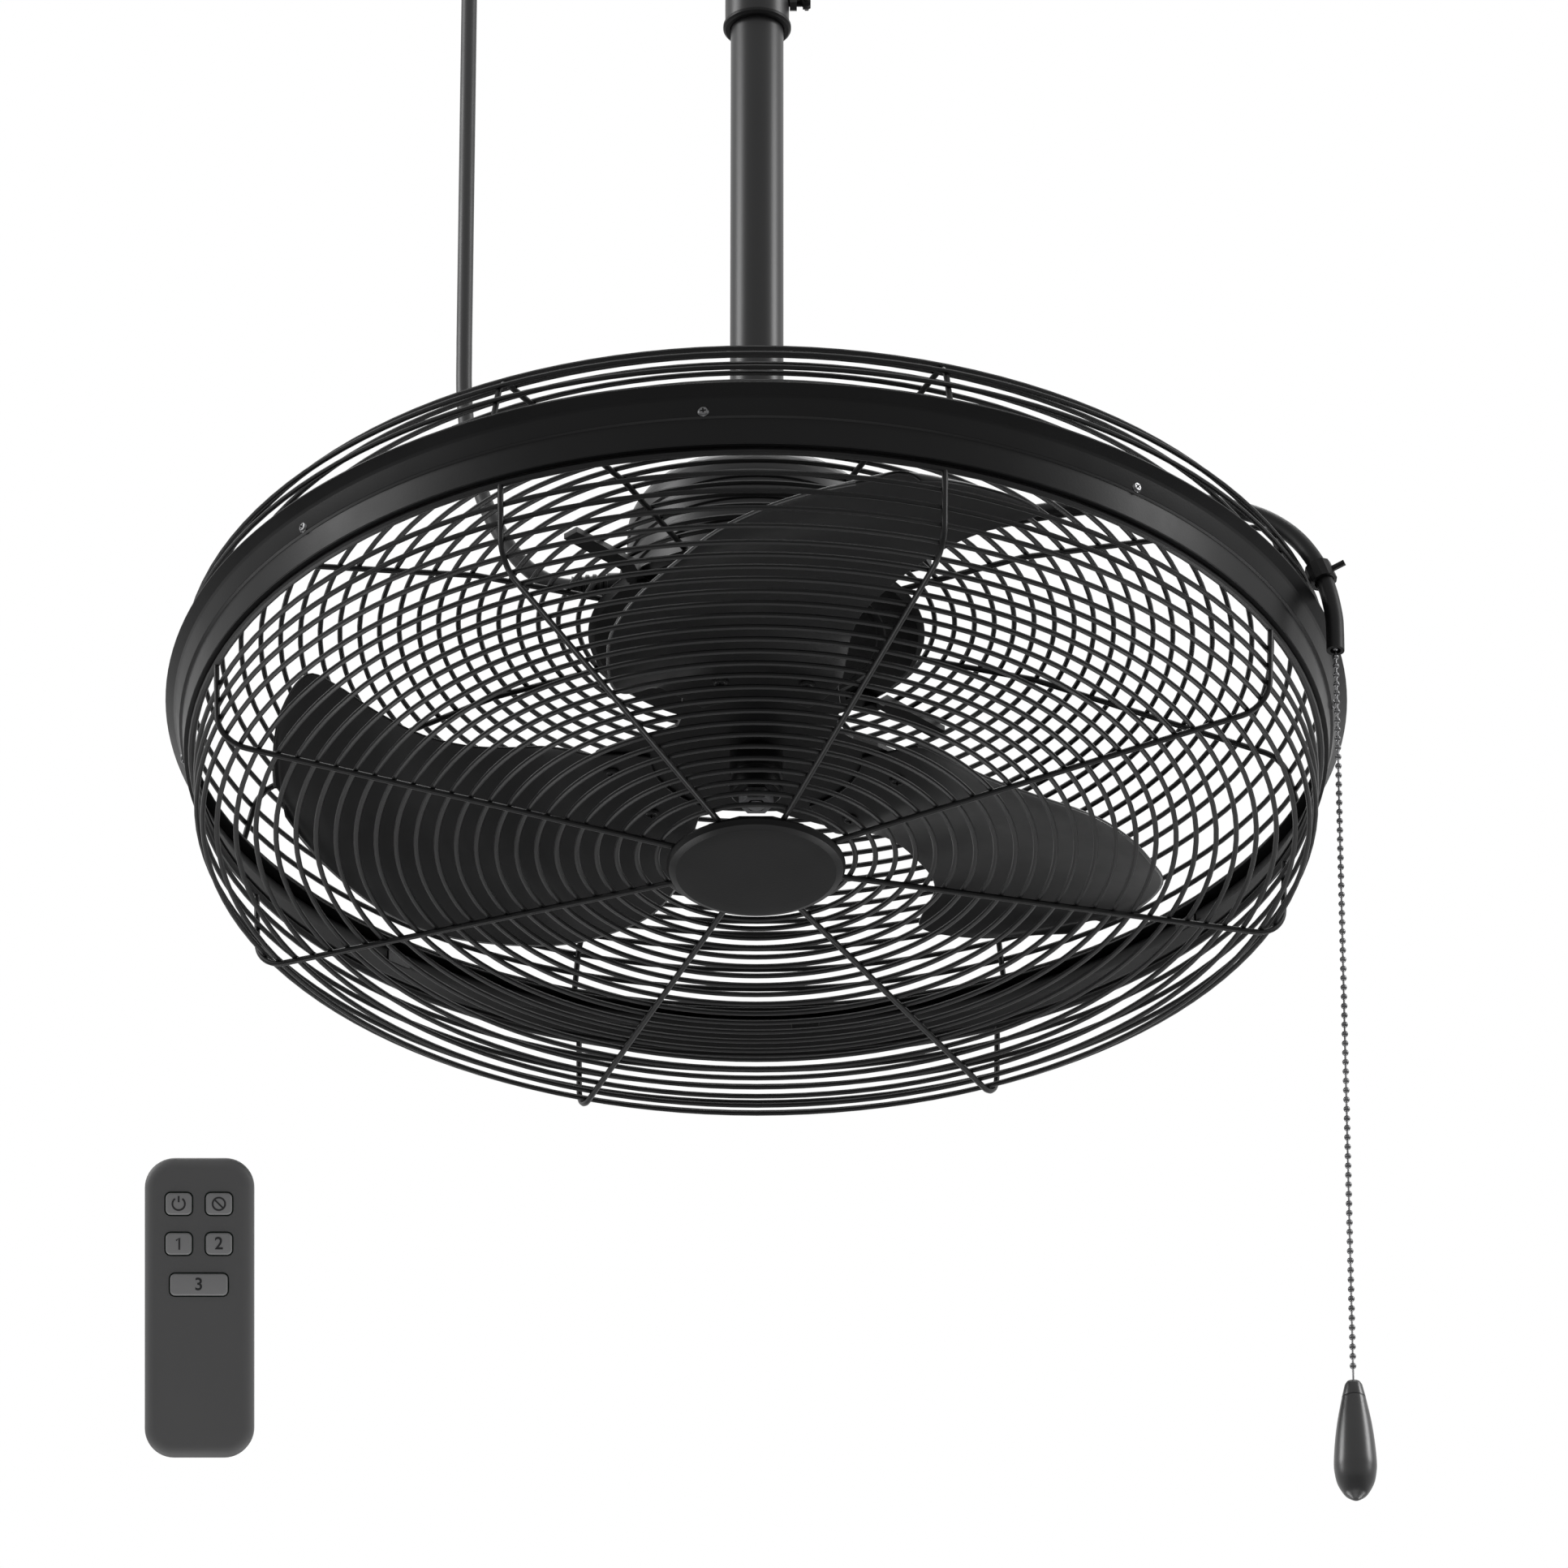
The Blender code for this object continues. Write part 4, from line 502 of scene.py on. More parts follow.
def bridge(bm, one, two):
    """Faces between two closed loops of equal count."""
    count = len(one)
    for k in range(count):
        n = (k + 1) % count
        bm.faces.new((one[k], one[n], two[n], two[k]))


def loops_along(bm, points, radius, sides):
    """A round loop square to the line at each of its points, without twist from one to the next."""
    loops = []
    side = None
    for i, point in enumerate(points):
        last = points[i - 1] if i else point
        after = points[i + 1] if i < len(points) - 1 else point
        run = (after - last).normalized()
        if side is None:
            side = run.orthogonal()
        side = (side - run * side.dot(run)).normalized()
        up = run.cross(side)
        loops.append([bm.verts.new(point + (side * math.cos(t) + up * math.sin(t)) * radius)
                      for t in (2 * math.pi * k / sides for k in range(sides))])
    return loops


def tube(points, radius, sides=WIRE_SIDES):
    """A round tube along the points, with flat ends."""
    bm = bmesh.new()
    loops = loops_along(bm, [Vector(p) for p in points], radius, sides)
    for one, two in zip(loops, loops[1:]):
        bridge(bm, one, two)
    bm.faces.new(list(reversed(loops[0])))
    bm.faces.new(loops[-1])
    return shell_of(bm, TUBE_CREASE)


def pipe(points, radius, bore, sides):
    """A tube with its bore open from end to end."""
    points = [Vector(p) for p in points]
    bm = bmesh.new()
    outer = loops_along(bm, points, radius, sides)
    inner = loops_along(bm, points, bore, sides)
    for loops in (outer, inner):
        for one, two in zip(loops, loops[1:]):
            bridge(bm, one, two)
    for end in (0, -1):
        bridge(bm, outer[end], inner[end])
    return shell_of(bm, TUBE_CREASE)


def smooth_line(points, per_span):
    """Points of a smooth curve through the given ones, of any dimension."""
    points = [Vector(p) for p in points]
    padded = [points[0] * 2 - points[1], *points, points[-1] * 2 - points[-2]]
    made = []
    for a, b, c, d in zip(padded, padded[1:], padded[2:], padded[3:]):
        for i in range(per_span):
            t = i / per_span
            made.append(0.5 * (2 * b + (c - a) * t + (2 * a - 5 * b + 4 * c - d) * t * t
                               + (3 * b - a - 3 * c + d) * t * t * t))
    return made + [points[-1]]


def fillet(before, corner, after, radius, steps):
    """Points of the arc that rounds a corner between two straight runs."""
    corner = Vector(corner)
    first = (Vector(before) - corner).normalized()
    second = (Vector(after) - corner).normalized()
    half = first.angle(second) / 2
    reach = radius / math.tan(half)
    centre = corner + (first + second).normalized() * (radius / math.sin(half))
    start = corner + first * reach - centre
    end = corner + second * reach - centre
    sweep = start.angle_signed(end)
    made = []
    for i in range(steps + 1):
        turn = -sweep * i / steps
        made.append(centre + Vector((start.x * math.cos(turn) - start.y * math.sin(turn),
                                     start.x * math.sin(turn) + start.y * math.cos(turn))))
    return made


def rounded_rectangle(width, length, corner, steps, centre=(0.0, 0.0)):
    points = []
    for sx, sy, start in ((1, 1, 0), (-1, 1, 90), (-1, -1, 180), (1, -1, 270)):
        for i in range(steps + 1):
            turn = math.radians(start + 90 * i / steps)
            points.append((centre[0] + sx * (width / 2 - corner) + corner * math.cos(turn),
                           centre[1] + sy * (length / 2 - corner) + corner * math.sin(turn)))
    return points


def loft(loops):
    """A closed body through outlines of equal count, given as (points, height)."""
    bm = bmesh.new()
    rows = [[bm.verts.new((x, y, height)) for x, y in points] for points, height in loops]
    for one, two in zip(rows, rows[1:]):
        bridge(bm, one, two)
    bm.faces.new(list(reversed(rows[0])))
    bm.faces.new(rows[-1])
    return shell_of(bm, CUT_CREASE)


def slab(width, length, corner, low, high, low_soft, high_soft, centre=(0.0, 0.0), steps=8, lean=1.0):
    """A slab with rounded corners and edges.

    The lower and the upper edge are rounded by low_soft and high_soft, and the upper rounding
    reaches inwards by lean times its height.
    """
    loops = []
    for soft, face, way, share in ((low_soft, low, 1, 1.0), (high_soft, high, -1, lean)):
        arc = []
        for i in range(EDGE_STEPS + 1):
            turn = math.pi / 2 * i / EDGE_STEPS
            inset = soft * (1 - math.sin(turn)) * share
            outline = rounded_rectangle(width - 2 * inset, length - 2 * inset, max(corner - inset, 0.0002),
                                        steps, centre)
            arc.append((outline, face + way * soft * (1 - math.cos(turn))))
        loops += arc if way == 1 else reversed(arc)
    return loft(loops)


def cut_with(mesh, cutters):
    """The mesh less the cutters, by the EXACT solver."""
    body = added("body", mesh)
    tool = added("tool", joined(cutters))
    change = body.modifiers.new("cut", "BOOLEAN")
    change.operation = "DIFFERENCE"
    change.object = tool
    change.solver = "EXACT"
    return creased(applied(body, tool), CUT_CREASE)


def drill(radius, low, high):
    """A plain round cutter about Z, from low to high."""
    return turned([(0, low), (radius, low), (radius, high), (0, high)], SMALL_ROUND)


def pan_head(radius, rise):
    """A round screw head on z 0 with a crossed recess."""
    head = turned([(0, 0), (radius, 0), (radius, rise * 0.45), (radius * 0.72, rise), (0, rise)],
                  28, soft=radius * 0.25)
    arm = radius * 0.5
    bar = slab(arm * 2, arm * 0.5, arm * 0.1, rise * 0.45, rise * 1.6, 0.00005, 0.00005, steps=2)
    for turn in (0, 90):
        head = cut_with(head, [(bar, Matrix.Rotation(math.radians(turn), 4, "Z"))])
    return head


# Camera: seven metres off, looking up at the cage from below

CAMERA_DISTANCE = 7.0
CAMERA_RISE = math.radians(32.2)
CAMERA_AIM = Vector((0.0136, 0, RIM_Z - 0.0299))
CAMERA_REACH = 60.0
METRES_PER_PIXEL = 0.0003973
PHOTO_WIDTH = 1932
SENSOR = 36.0


def make_camera():
    look = Vector((0, math.cos(CAMERA_RISE), math.sin(CAMERA_RISE)))
    up = Vector((0, -math.sin(CAMERA_RISE), math.cos(CAMERA_RISE)))
    right = look.cross(up)
    data = bpy.data.cameras.new("camera")
    data.sensor_width = SENSOR
    data.lens = SENSOR * (CAMERA_DISTANCE / METRES_PER_PIXEL) / PHOTO_WIDTH
    data.clip_end = CAMERA_REACH
    camera = added("camera", data)
    turn = Matrix((right, up, -look)).transposed().to_4x4()
    camera.matrix_world = Matrix.Translation(CAMERA_AIM - look * CAMERA_DISTANCE) @ turn
    bpy.context.scene.camera = camera


make_camera()


# Power cord, taut from the motor up to the ceiling

CORD_ROUTE = (
    (-0.0900, 0.0850), (-0.1020, 0.0880), (-0.1140, 0.0970), (-0.1250, 0.1130),
    (-0.1350, 0.1360), (-0.1420, 0.1640), (-0.1455, 0.1960), (CORD_X, 0.2300),
)
CORD_RISE_SPANS = 10
CUP_FORM = (
    (0.0170, 0), (0.0170, -0.0155), (0.0119, -0.0240), (0.0066, -0.0276), (0.0056, -0.0360),
    (0.0043, -0.0360), (0.0043, -0.0220), (0.0119, -0.0220), (0.0150, -0.0155), (0.0150, 0),
)


def make_cord():
    start = (-(MOTOR_R - MOTOR_WALL) - SEAT / 2, CORD_ENTRY_Z)
    path = smooth_line([(x, 0, above_rim(z)) for x, z in (start, *CORD_ROUTE)], LINE_STEPS)
    low = above_rim(CORD_ROUTE[-1][1])
    for i in range(1, CORD_RISE_SPANS + 1):
        path.append(Vector((CORD_X, 0, low + (CORD_TOP - low) * i / CORD_RISE_SPANS)))
    cord = piece("cord_sleeve", tube(path, CORD_R, 20), RUBBER, "ceiling_side", "cord_rubber", "power_cord")
    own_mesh(cord)
    cup = piece("cord_cup", turned(CUP_FORM, ROUND, True, 0.0010), PLASTIC, "ceiling_side", "black_plastic",
                "cord_ceiling_cup", place=Matrix.Translation((CORD_X, 0, 0)))


def make_relief():
    """The ribbed sleeve round the cord where it leaves the motor."""
    profile = [(RELIEF_BORE_R, RELIEF_L), (0.0054, RELIEF_L)]
    for rib in range(RELIEF_RIBS):
        top = RELIEF_L - 0.0030 - rib * RELIEF_PITCH
        size = 0.0056 + rib * 0.00030
        profile += [(size - 0.0007, top + 0.0012), (size - 0.0007, top), (size + 0.0003, top - 0.0004),
                    (size + 0.0003, top - 0.0018)]
    profile += [(0.0072, RELIEF_FLANGE_T), (RELIEF_FLANGE_R, RELIEF_FLANGE_T), (RELIEF_FLANGE_R, 0),
                (RELIEF_BORE_R, 0)]
    piece("cord_relief", turned(profile, 40, True, 0.0003), PLASTIC, "fan", "black_plastic", "strain_relief",
          place=pointing((-1, 0, 0), (-MOTOR_R - SEAT, 0, above_rim(CORD_ENTRY_Z))))


make_cord()
make_relief()


# Ceiling plate and drop rod


def make_plate():
    profile = [(0, 0), (PLATE_R, 0), (PLATE_R, -PLATE_T), (SOCKET_R + SOCKET_FLARE, -PLATE_T),
               (SOCKET_R, -PLATE_T - SOCKET_FLARE), (SOCKET_R, SOCKET_LOW), (SOCKET_BORE_R, SOCKET_LOW),
               (SOCKET_BORE_R, SOCKET_FLOOR), (0, SOCKET_FLOOR)]
    cutters = []
    for azimuth in (45, 135, 225, 315):
        at = polar(PLATE_HOLE_CIRCLE_R, azimuth, -0.01)
        cutters.append((drill(PLATE_HOLE_R, 0, 0.03), Matrix.Translation(at)))
    cutters.append((drill(TOP_BOLT_BORE_R, -0.06, 0.06), pointing((1, 0, 0), (0, 0, TOP_BOLT_Z))))
    piece("rod_plate", cut_with(turned(profile, FINE, soft=0.0008), cutters), BLACK, "ceiling_side",
          "black_paint", "ceiling_plate")


def make_outer_rod():
    end = above_rim(OUTER_TUBE_END)
    profile = [(OUTER_TUBE_R, OUTER_TUBE_TOP), (OUTER_TUBE_R, end), (OUTER_TUBE_BORE, end),
               (OUTER_TUBE_BORE, OUTER_TUBE_TOP)]
    bores = [(drill(TOP_BOLT_BORE_R, -0.03, 0.03), pointing((1, 0, 0), (0, 0, TOP_BOLT_Z))),
             (drill(LOCK_BORE_R, 0, 0.03), pointing((1, 0, 0), (0, 0, end + LOCK_RISE)))]
    piece("outer_rod", cut_with(turned(profile, ROUND, True, 0.0004), bores), ROD, "ceiling_side",
          "rod_paint", "outer_tube")
    low = end - SEAT - BUSH_T
    sleeve = OUTER_TUBE_BORE - SEAT
    bore = INNER_TUBE_R + SEAT
    bush = [(sleeve, end + BUSH_SLEEVE), (sleeve, end - SEAT), (BUSH_R, end - SEAT),
            (BUSH_R, low + BUSH_CHAMFER), (BUSH_R - BUSH_CHAMFER, low), (bore, low),
            (bore, end + BUSH_SLEEVE)]
    piece("rod_bush", turned(bush, ROUND, True, 0.0003), PLASTIC, "ceiling_side", "black_plastic",
          "glide_bush")


def make_lock():
    """The nut on the outer tube, and the thumb screw through it up to the inner tube."""
    height = above_rim(OUTER_TUBE_END) + LOCK_RISE
    nut_from = OUTER_TUBE_R + SEAT
    nut = turned([(LOCK_NUT_BORE_R, 0), (LOCK_NUT_R, 0), (LOCK_NUT_R, LOCK_NUT_T),
                  (LOCK_NUT_BORE_R, LOCK_NUT_T)], 6, True)
    piece("rod_nut", nut, ROD, "ceiling_side", "rod_paint", "lock_nut",
          place=pointing((1, 0, 0), (nut_from, 0, height)))
    tip = INNER_TUBE_R + SEAT
    stem = nut_from + LOCK_NUT_T + LOCK_STEM - tip
    threads = []
    z = 0.0004
    while z < stem - 0.0006:
        threads += [(LOCK_SCREW_R - THREAD_DEPTH, z), (LOCK_SCREW_R, z + THREAD_PITCH * 0.5)]
        z += THREAD_PITCH
    full = [(0, 0), (LOCK_SCREW_R - 0.0004, 0), *threads, (LOCK_SCREW_R, stem), (LOCK_KNOB_R, stem),
            (LOCK_KNOB_R, stem + LOCK_KNOB_T * 0.7), (LOCK_KNOB_R * 0.8, stem + LOCK_KNOB_T),
            (0, stem + LOCK_KNOB_T)]
    wing = slab(LOCK_KNOB_R * 0.8, LOCK_KNOB_R * 3.4, 0.0012, 0, LOCK_KNOB_T * 0.55, 0.0006, 0.0006)
    knob = joined([turned(full, 32), (wing, Matrix.Translation((0, 0, stem + LOCK_KNOB_T * 0.22)))])
    piece("rod_lock", creased(knob, KNOB_CREASE), BLACK, "lock_screw", "zinc", "thumb_screw",
          place=pointing((1, 0, 0), (tip, 0, height)))


def make_inner_rod():
    base = above_rim(MOTOR_TOP) + SEAT
    floor = base + COUPLING_FLOOR
    low = floor + SEAT
    high = above_rim(INNER_TUBE_TOP)
    rod = [(INNER_TUBE_R, high), (INNER_TUBE_R, low), (INNER_TUBE_BORE, low), (INNER_TUBE_BORE, high)]
    piece("inner_rod", turned(rod, ROUND, True, 0.0003), ROD, "fan", "rod_paint", "inner_tube")
    top = above_rim(COUPLING_TOP)
    flange = base + COUPLING_FLANGE_T
    socket = INNER_TUBE_R + SEAT
    coupling = [(socket, top), (COUPLING_R, top), (COUPLING_R, flange + COUPLING_NECK),
                (COUPLING_R + COUPLING_NECK, flange), (COUPLING_FLANGE_R, flange), (COUPLING_FLANGE_R, base),
                (0, base), (0, floor), (socket, floor)]
    meshes = [turned(coupling, ROUND, True, 0.0008)]
    head = pan_head(0.0034, 0.0020)
    for azimuth in (90, 210, 330):
        meshes.append((head, Matrix.Translation(polar(COUPLING_SCREW_R, azimuth, flange))))
    piece("coupling_body", joined(meshes), ROD, "fan", "rod_paint", "rod_coupling")


make_plate()
make_outer_rod()
make_lock()
make_inner_rod()


# Motor

# Ring grooves in the front plate: the radii of the outer edge, the floor's two sides and the inner edge
PLATE_GROOVES = ((0.0640, 0.0630, 0.0600, 0.0590), (0.0400, 0.0390, 0.0370, 0.0360))
PLATE_GROOVE_DEPTH = 0.0008
PLATE_BOSS_BORE = 0.0113
PLATE_BOSS_R = 0.0145
PLATE_BOSS_H = 0.0062
PLATE_NOSE = 0.0015
# Ring grooves round the motor's side, as shares of its height from the shoulder down
MOTOR_GROOVES = (0.10, 0.34, 0.58)
MOTOR_GROOVE_DEPTH = 0.0012
SHOULDER_STEPS = 12


def make_front_plate():
    low = above_rim(PLATE_Z)
    top = low + FRONT_PLATE_T
    edge = FRONT_PLATE_T * 0.35
    dish = low + FRONT_PLATE_T * 0.75
    seat = low + FRONT_PLATE_T * 0.7
    profile = [(PLATE_BOSS_BORE, top + PLATE_BOSS_H), (PLATE_BOSS_R, top + PLATE_BOSS_H),
               (PLATE_BOSS_R, dish), (0.0565, dish), (0.0605, top), (FRONT_PLATE_R - edge, top),
               (FRONT_PLATE_R, top - edge), (FRONT_PLATE_R, low + edge * 1.4),
               (FRONT_PLATE_R - edge * 2, low)]
    for outer, outer_floor, inner_floor, inner in PLATE_GROOVES:
        floor = low + PLATE_GROOVE_DEPTH
        profile += [(outer, low), (outer_floor, floor), (inner_floor, floor), (inner, low)]
    profile += [(0.0220, low), (0.0176, low - PLATE_NOSE), (SHAFT_HOLE_R, low - PLATE_NOSE),
                (SHAFT_HOLE_R, seat), (PLATE_BOSS_BORE, seat)]
    piece("motor_front", turned(profile, FINE, True, 0.0006), BLACK, "fan", "black_paint",
          "motor_front_plate")


def make_rear_housing():
    low = above_rim(PLATE_Z) + FRONT_PLATE_T + SEAT
    flange = low + MOTOR_FLANGE_T
    crown = above_rim(MOTOR_TOP)
    skin = [(0, crown), (0.020, crown), (0.022, crown - 0.0008), (0.030, crown - 0.0008)]
    for i in range(SHOULDER_STEPS + 1):
        turn = math.pi / 2 * i / SHOULDER_STEPS
        skin.append((MOTOR_R - MOTOR_SHOULDER * (1 - math.sin(turn)),
                     crown - MOTOR_SHOULDER * 0.75 * (1 - math.cos(turn))))
    side_top = skin[-1][1]
    height = side_top - flange
    for share in MOTOR_GROOVES:
        start = side_top - height * share
        floor = MOTOR_R - MOTOR_GROOVE_DEPTH
        skin += [(MOTOR_R, start), (floor, start - 0.0007), (floor, start - 0.0042),
                 (MOTOR_R, start - 0.0049)]
    skin += [(MOTOR_R, flange), (MOTOR_FLANGE_R, flange), (MOTOR_FLANGE_R, low),
             (MOTOR_R - MOTOR_WALL, low), (MOTOR_R - MOTOR_WALL, side_top),
             (MOTOR_R - MOTOR_SHOULDER, crown - MOTOR_WALL), (0, crown - MOTOR_WALL)]
    meshes = [turned(skin, FINE, False, 0.0004)]
    head = pan_head(0.0032, 0.0019)
    for azimuth in (0, 90, 180, 270):
        meshes.append((head, Matrix.Translation(polar(MOTOR_SCREW_R, azimuth, flange))))
    piece("motor_rear", joined(meshes), MOTOR, "fan", "motor_paint", "motor_rear_housing")


make_front_plate()
make_rear_housing()


# Cage


def ring(radius, height, wire):
    """A ring of round wire about Z."""
    return turned([(radius + wire * math.cos(t), height + wire * math.sin(t))
                   for t in (2 * math.pi * k / WIRE_SIDES for k in range(WIRE_SIDES))], FINE, True)


def make_guard(name, runs, corner, edge, first_ring, *nodes):
    """Ribs along the profile with rings welded on, a pitch apart from first_ring outwards."""
    arc = fillet(runs[-1], corner, edge, CORNER_R, 10)
    path = [Vector(p) for p in runs] + arc + [Vector(edge)]
    meshes = []
    for i in range(RIB_COUNT):
        turn = RIB_AZIMUTH + i * 360.0 / RIB_COUNT
        meshes.append(tube([polar(r, turn, z) for r, z in path], RIB_R))
    off_line = RIB_R + RING_R - RING_BITE
    walked = 0.0
    wanted = first_ring - path[0].x
    for a, b in zip(path, path[1:]):
        run = b - a
        if run.length < TINY:
            continue
        way = run.normalized()
        side = Vector((-way.y, way.x)) * off_line
        while wanted <= walked + run.length:
            at = a + way * (wanted - walked) + side
            if (Vector(edge) - at).length > RING_PITCH * 0.5:
                meshes.append(ring(at.x, at.y, RING_R))
            wanted += RING_PITCH
        walked += run.length
    meshes.append(ring(edge[0], edge[1], EDGE_RING_R))
    piece(name, joined(meshes), WIRE, "fan", "wire_paint", *nodes)


def make_cage():
    flat = above_rim(PLATE_Z + FRONT_PLATE_T + SEAT + RIB_R)
    edge = (RIM_R - RIM_TOP_LIP * 0.6, above_rim(RIM_H / 2) + SEAT + EDGE_RING_R)
    corner = (REAR_CORNER[0], above_rim(REAR_CORNER[1]))
    make_guard("rear_wire", [(FRONT_PLATE_R - 0.006, flat), (REAR_FLAT_R, flat)], corner, edge,
               FRONT_PLATE_R + RING_PITCH * 0.5, "rear_guard_face", "rear_guard_wall")
    face = above_rim(FRONT_FACE_Z)
    edge = (RIM_R - FRONT_EDGE_INSET, above_rim(RIM_FORM[-1][1]) - SEAT - EDGE_RING_R)
    corner = (FRONT_CORNER[0], above_rim(FRONT_CORNER[1]))
    make_guard("front_wire", [(FRONT_RIB_START, face), (BADGE_R, face)], corner, edge,
               BADGE_R + RING_PITCH * 0.5, "front_guard_face", "front_guard_wall")


def make_rim():
    """The sheet rim with a clip behind each of its screws."""
    s = RIM_SHEET
    face = [Vector((RIM_R + r, above_rim(z))) for r, z in RIM_FORM]
    inner = [Vector((RIM_R + r - s, above_rim(z))) for r, z in RIM_FORM[1:]]
    inner[0].y -= s
    inner[-1].y += s
    turn_in = face[-1] + Vector((-RIM_TURN_IN, 0))
    profile = [*face, turn_in, turn_in + Vector((0, s)), *reversed(inner), face[0] - Vector((0, s))]
    meshes = [turned(profile, RIM_STEPS, True, 0.0005)]
    heads = []
    clip = slab(RIM_CLIP_H, RIM_CLIP_W, 0.0012, 0, RIM_CLIP_T, 0.0003, 0.0003, steps=3)
    head = pan_head(0.0029, 0.0017)
    height = above_rim(RIM_SCREW_Z)
    upright = Matrix.Rotation(math.radians(90), 4, "Y")
    for i in range(RIM_SCREW_COUNT):
        azimuth = RIM_SCREW_AZIMUTH + i * 360.0 / RIM_SCREW_COUNT
        behind = Matrix.Translation(polar(RIM_SCREW_R - s - RIM_CLIP_T, azimuth, height))
        meshes.append((clip, behind @ Matrix.Rotation(math.radians(azimuth), 4, "Z") @ upright))
        heads.append((head, pointing(polar(1, azimuth), polar(RIM_SCREW_R - 0.0001, azimuth, height))))
    piece("rim_band", joined(meshes), BLACK, "fan", "black_paint", "rim_hoop")
    piece("rim_screws", joined(heads), BEADS, "fan", "black_paint")


def make_badge():
    """The bare round cap in the middle of the front guard."""
    high = above_rim(FRONT_FACE_Z) - RIB_R - SEAT
    low = high - BADGE_T
    inside = low + BADGE_SHEET
    profile = [(0, inside), (BADGE_R - BADGE_SHEET, inside), (BADGE_R - BADGE_SHEET, high), (BADGE_R, high),
               (BADGE_R, low + 0.0040), (BADGE_R - 0.00125, low + 0.0015), (BADGE_R - 0.0045, low + 0.0002),
               (BADGE_R - 0.012, low), (0, low)]
    piece("badge_disc", turned(profile, FINE, soft=0.0007), BLACK, "fan", "black_paint", "badge_cap")


make_cage()
make_rim()
make_badge()


# Blades and hub

# Flat root: radius, and the azimuths of the two edges
BLADE_ROOT = ((0.052, 0, 60), (0.066, -4, 62), (BLADE_FLAT_R, -7, 61))
# Swept part: share of the way to the tip, the edges' azimuths, and their heights
BLADE_FORM = (
    (0.074, -8.0, 58.5, -0.0075, 0.0055), (0.160, -7.2, 56.0, -0.0165, 0.0105),
    (0.259, -4.6, 54.8, -0.0228, 0.0121), (0.383, 0.0, 55.6, -0.0250, 0.0131),
    (0.519, 5.0, 57.8, -0.0247, 0.0165), (0.654, 11.8, 61.6, -0.0226, 0.0225),
    (0.778, 19.0, 66.0, -0.0195, 0.0273), (0.877, 25.3, 68.0, -0.0125, 0.0280),
    (0.944, 33.0, 62.0, -0.0035, 0.0222), (0.981, 39.5, 54.0, 0.0030, 0.0160),
    (1.000, 44.0, 49.0, 0.0070, 0.0105),
)
HEM_R = 0.0009
# The rows of the blade between which its hem runs: a real rounded edge, but in paint lighter than the
# blade's, a painted highlight along the edge
HEM_FROM = 10
HEM_TO = -3


def blade_rows():
    """Rows from root to tip: radius, the edges' azimuths and heights, and the camber."""
    rows = [(radius, low, high, 0.0, 0.0, 0.0) for radius, low, high in BLADE_ROOT]
    for share, low, high, low_z, high_z in BLADE_FORM:
        radius = BLADE_FLAT_R + (BLADE_TIP_R - BLADE_FLAT_R) * share
        rows.append((radius, low, high, low_z, high_z, BLADE_CAMBER * min(share / BLADE_CAMBER_FROM, 1.0)))
    return smooth_line(rows, LINE_STEPS)


def blade_sheet(rows, azimuth):
    """One blade: a curved sheet through the rows, with its thickness and rounded edges."""
    bm = bmesh.new()
    grid = []
    for radius, low, high, low_z, high_z, camber in rows:
        line = []
        for i in range(BLADE_ACROSS + 1):
            across = i / BLADE_ACROSS
            turn = low + (high - low) * across
            height = low_z + (high_z - low_z) * across + camber * 4 * across * (1 - across)
            line.append(bm.verts.new(polar(radius, azimuth + turn, above_rim(BLADE_Z) + height)))
        grid.append(line)
    for one, two in zip(grid, grid[1:]):
        for i in range(BLADE_ACROSS):
            bm.faces.new((one[i], two[i], two[i + 1], one[i + 1]))
    holder = added("blade", shell_of(bm))
    thick = holder.modifiers.new("thickness", "SOLIDIFY")
    thick.thickness = BLADE_T
    thick.offset = 0
    soft = holder.modifiers.new("edge", "BEVEL")
    soft.width = BLADE_T * 0.48
    soft.segments = 4
    soft.limit_method = "ANGLE"
    soft.angle_limit = math.radians(50)
    return creased(applied(holder), BLADE_CREASE)


def make_blades():
    rows = blade_rows()
    head = pan_head(0.0038, 0.0022)
    height = above_rim(BLADE_Z)
    for number in range(BLADE_COUNT):
        azimuth = BLADE_SPACING * number
        name = f"blade_{number + 1}"
        piece(f"blade_sheet_{number + 1}", blade_sheet(rows, azimuth), BLADE, "rotor", "blade_paint", name)
        heads = []
        for turn in BLADE_SCREW_ANGLES:
            at = polar(BLADE_SCREW_RADIUS, azimuth + turn, height - BLADE_T / 2)
            heads.append((head, pointing((0, 0, -1), at)))
        piece(f"blade_screws_{number + 1}", joined(heads), BLADE, "rotor", "blade_paint")
        # A tube along the blade's low edge, in the lighter hem paint that paints a highlight there
        edge = [polar(radius, azimuth + low, height + low_z)
                for radius, low, _, low_z, _, _ in rows[HEM_FROM:HEM_TO]]
        piece(f"blade_hem_painted_highlight_{number + 1}", tube(edge, HEM_R), HEM_HIGHLIGHT_PAINT, "rotor", "blade_paint")


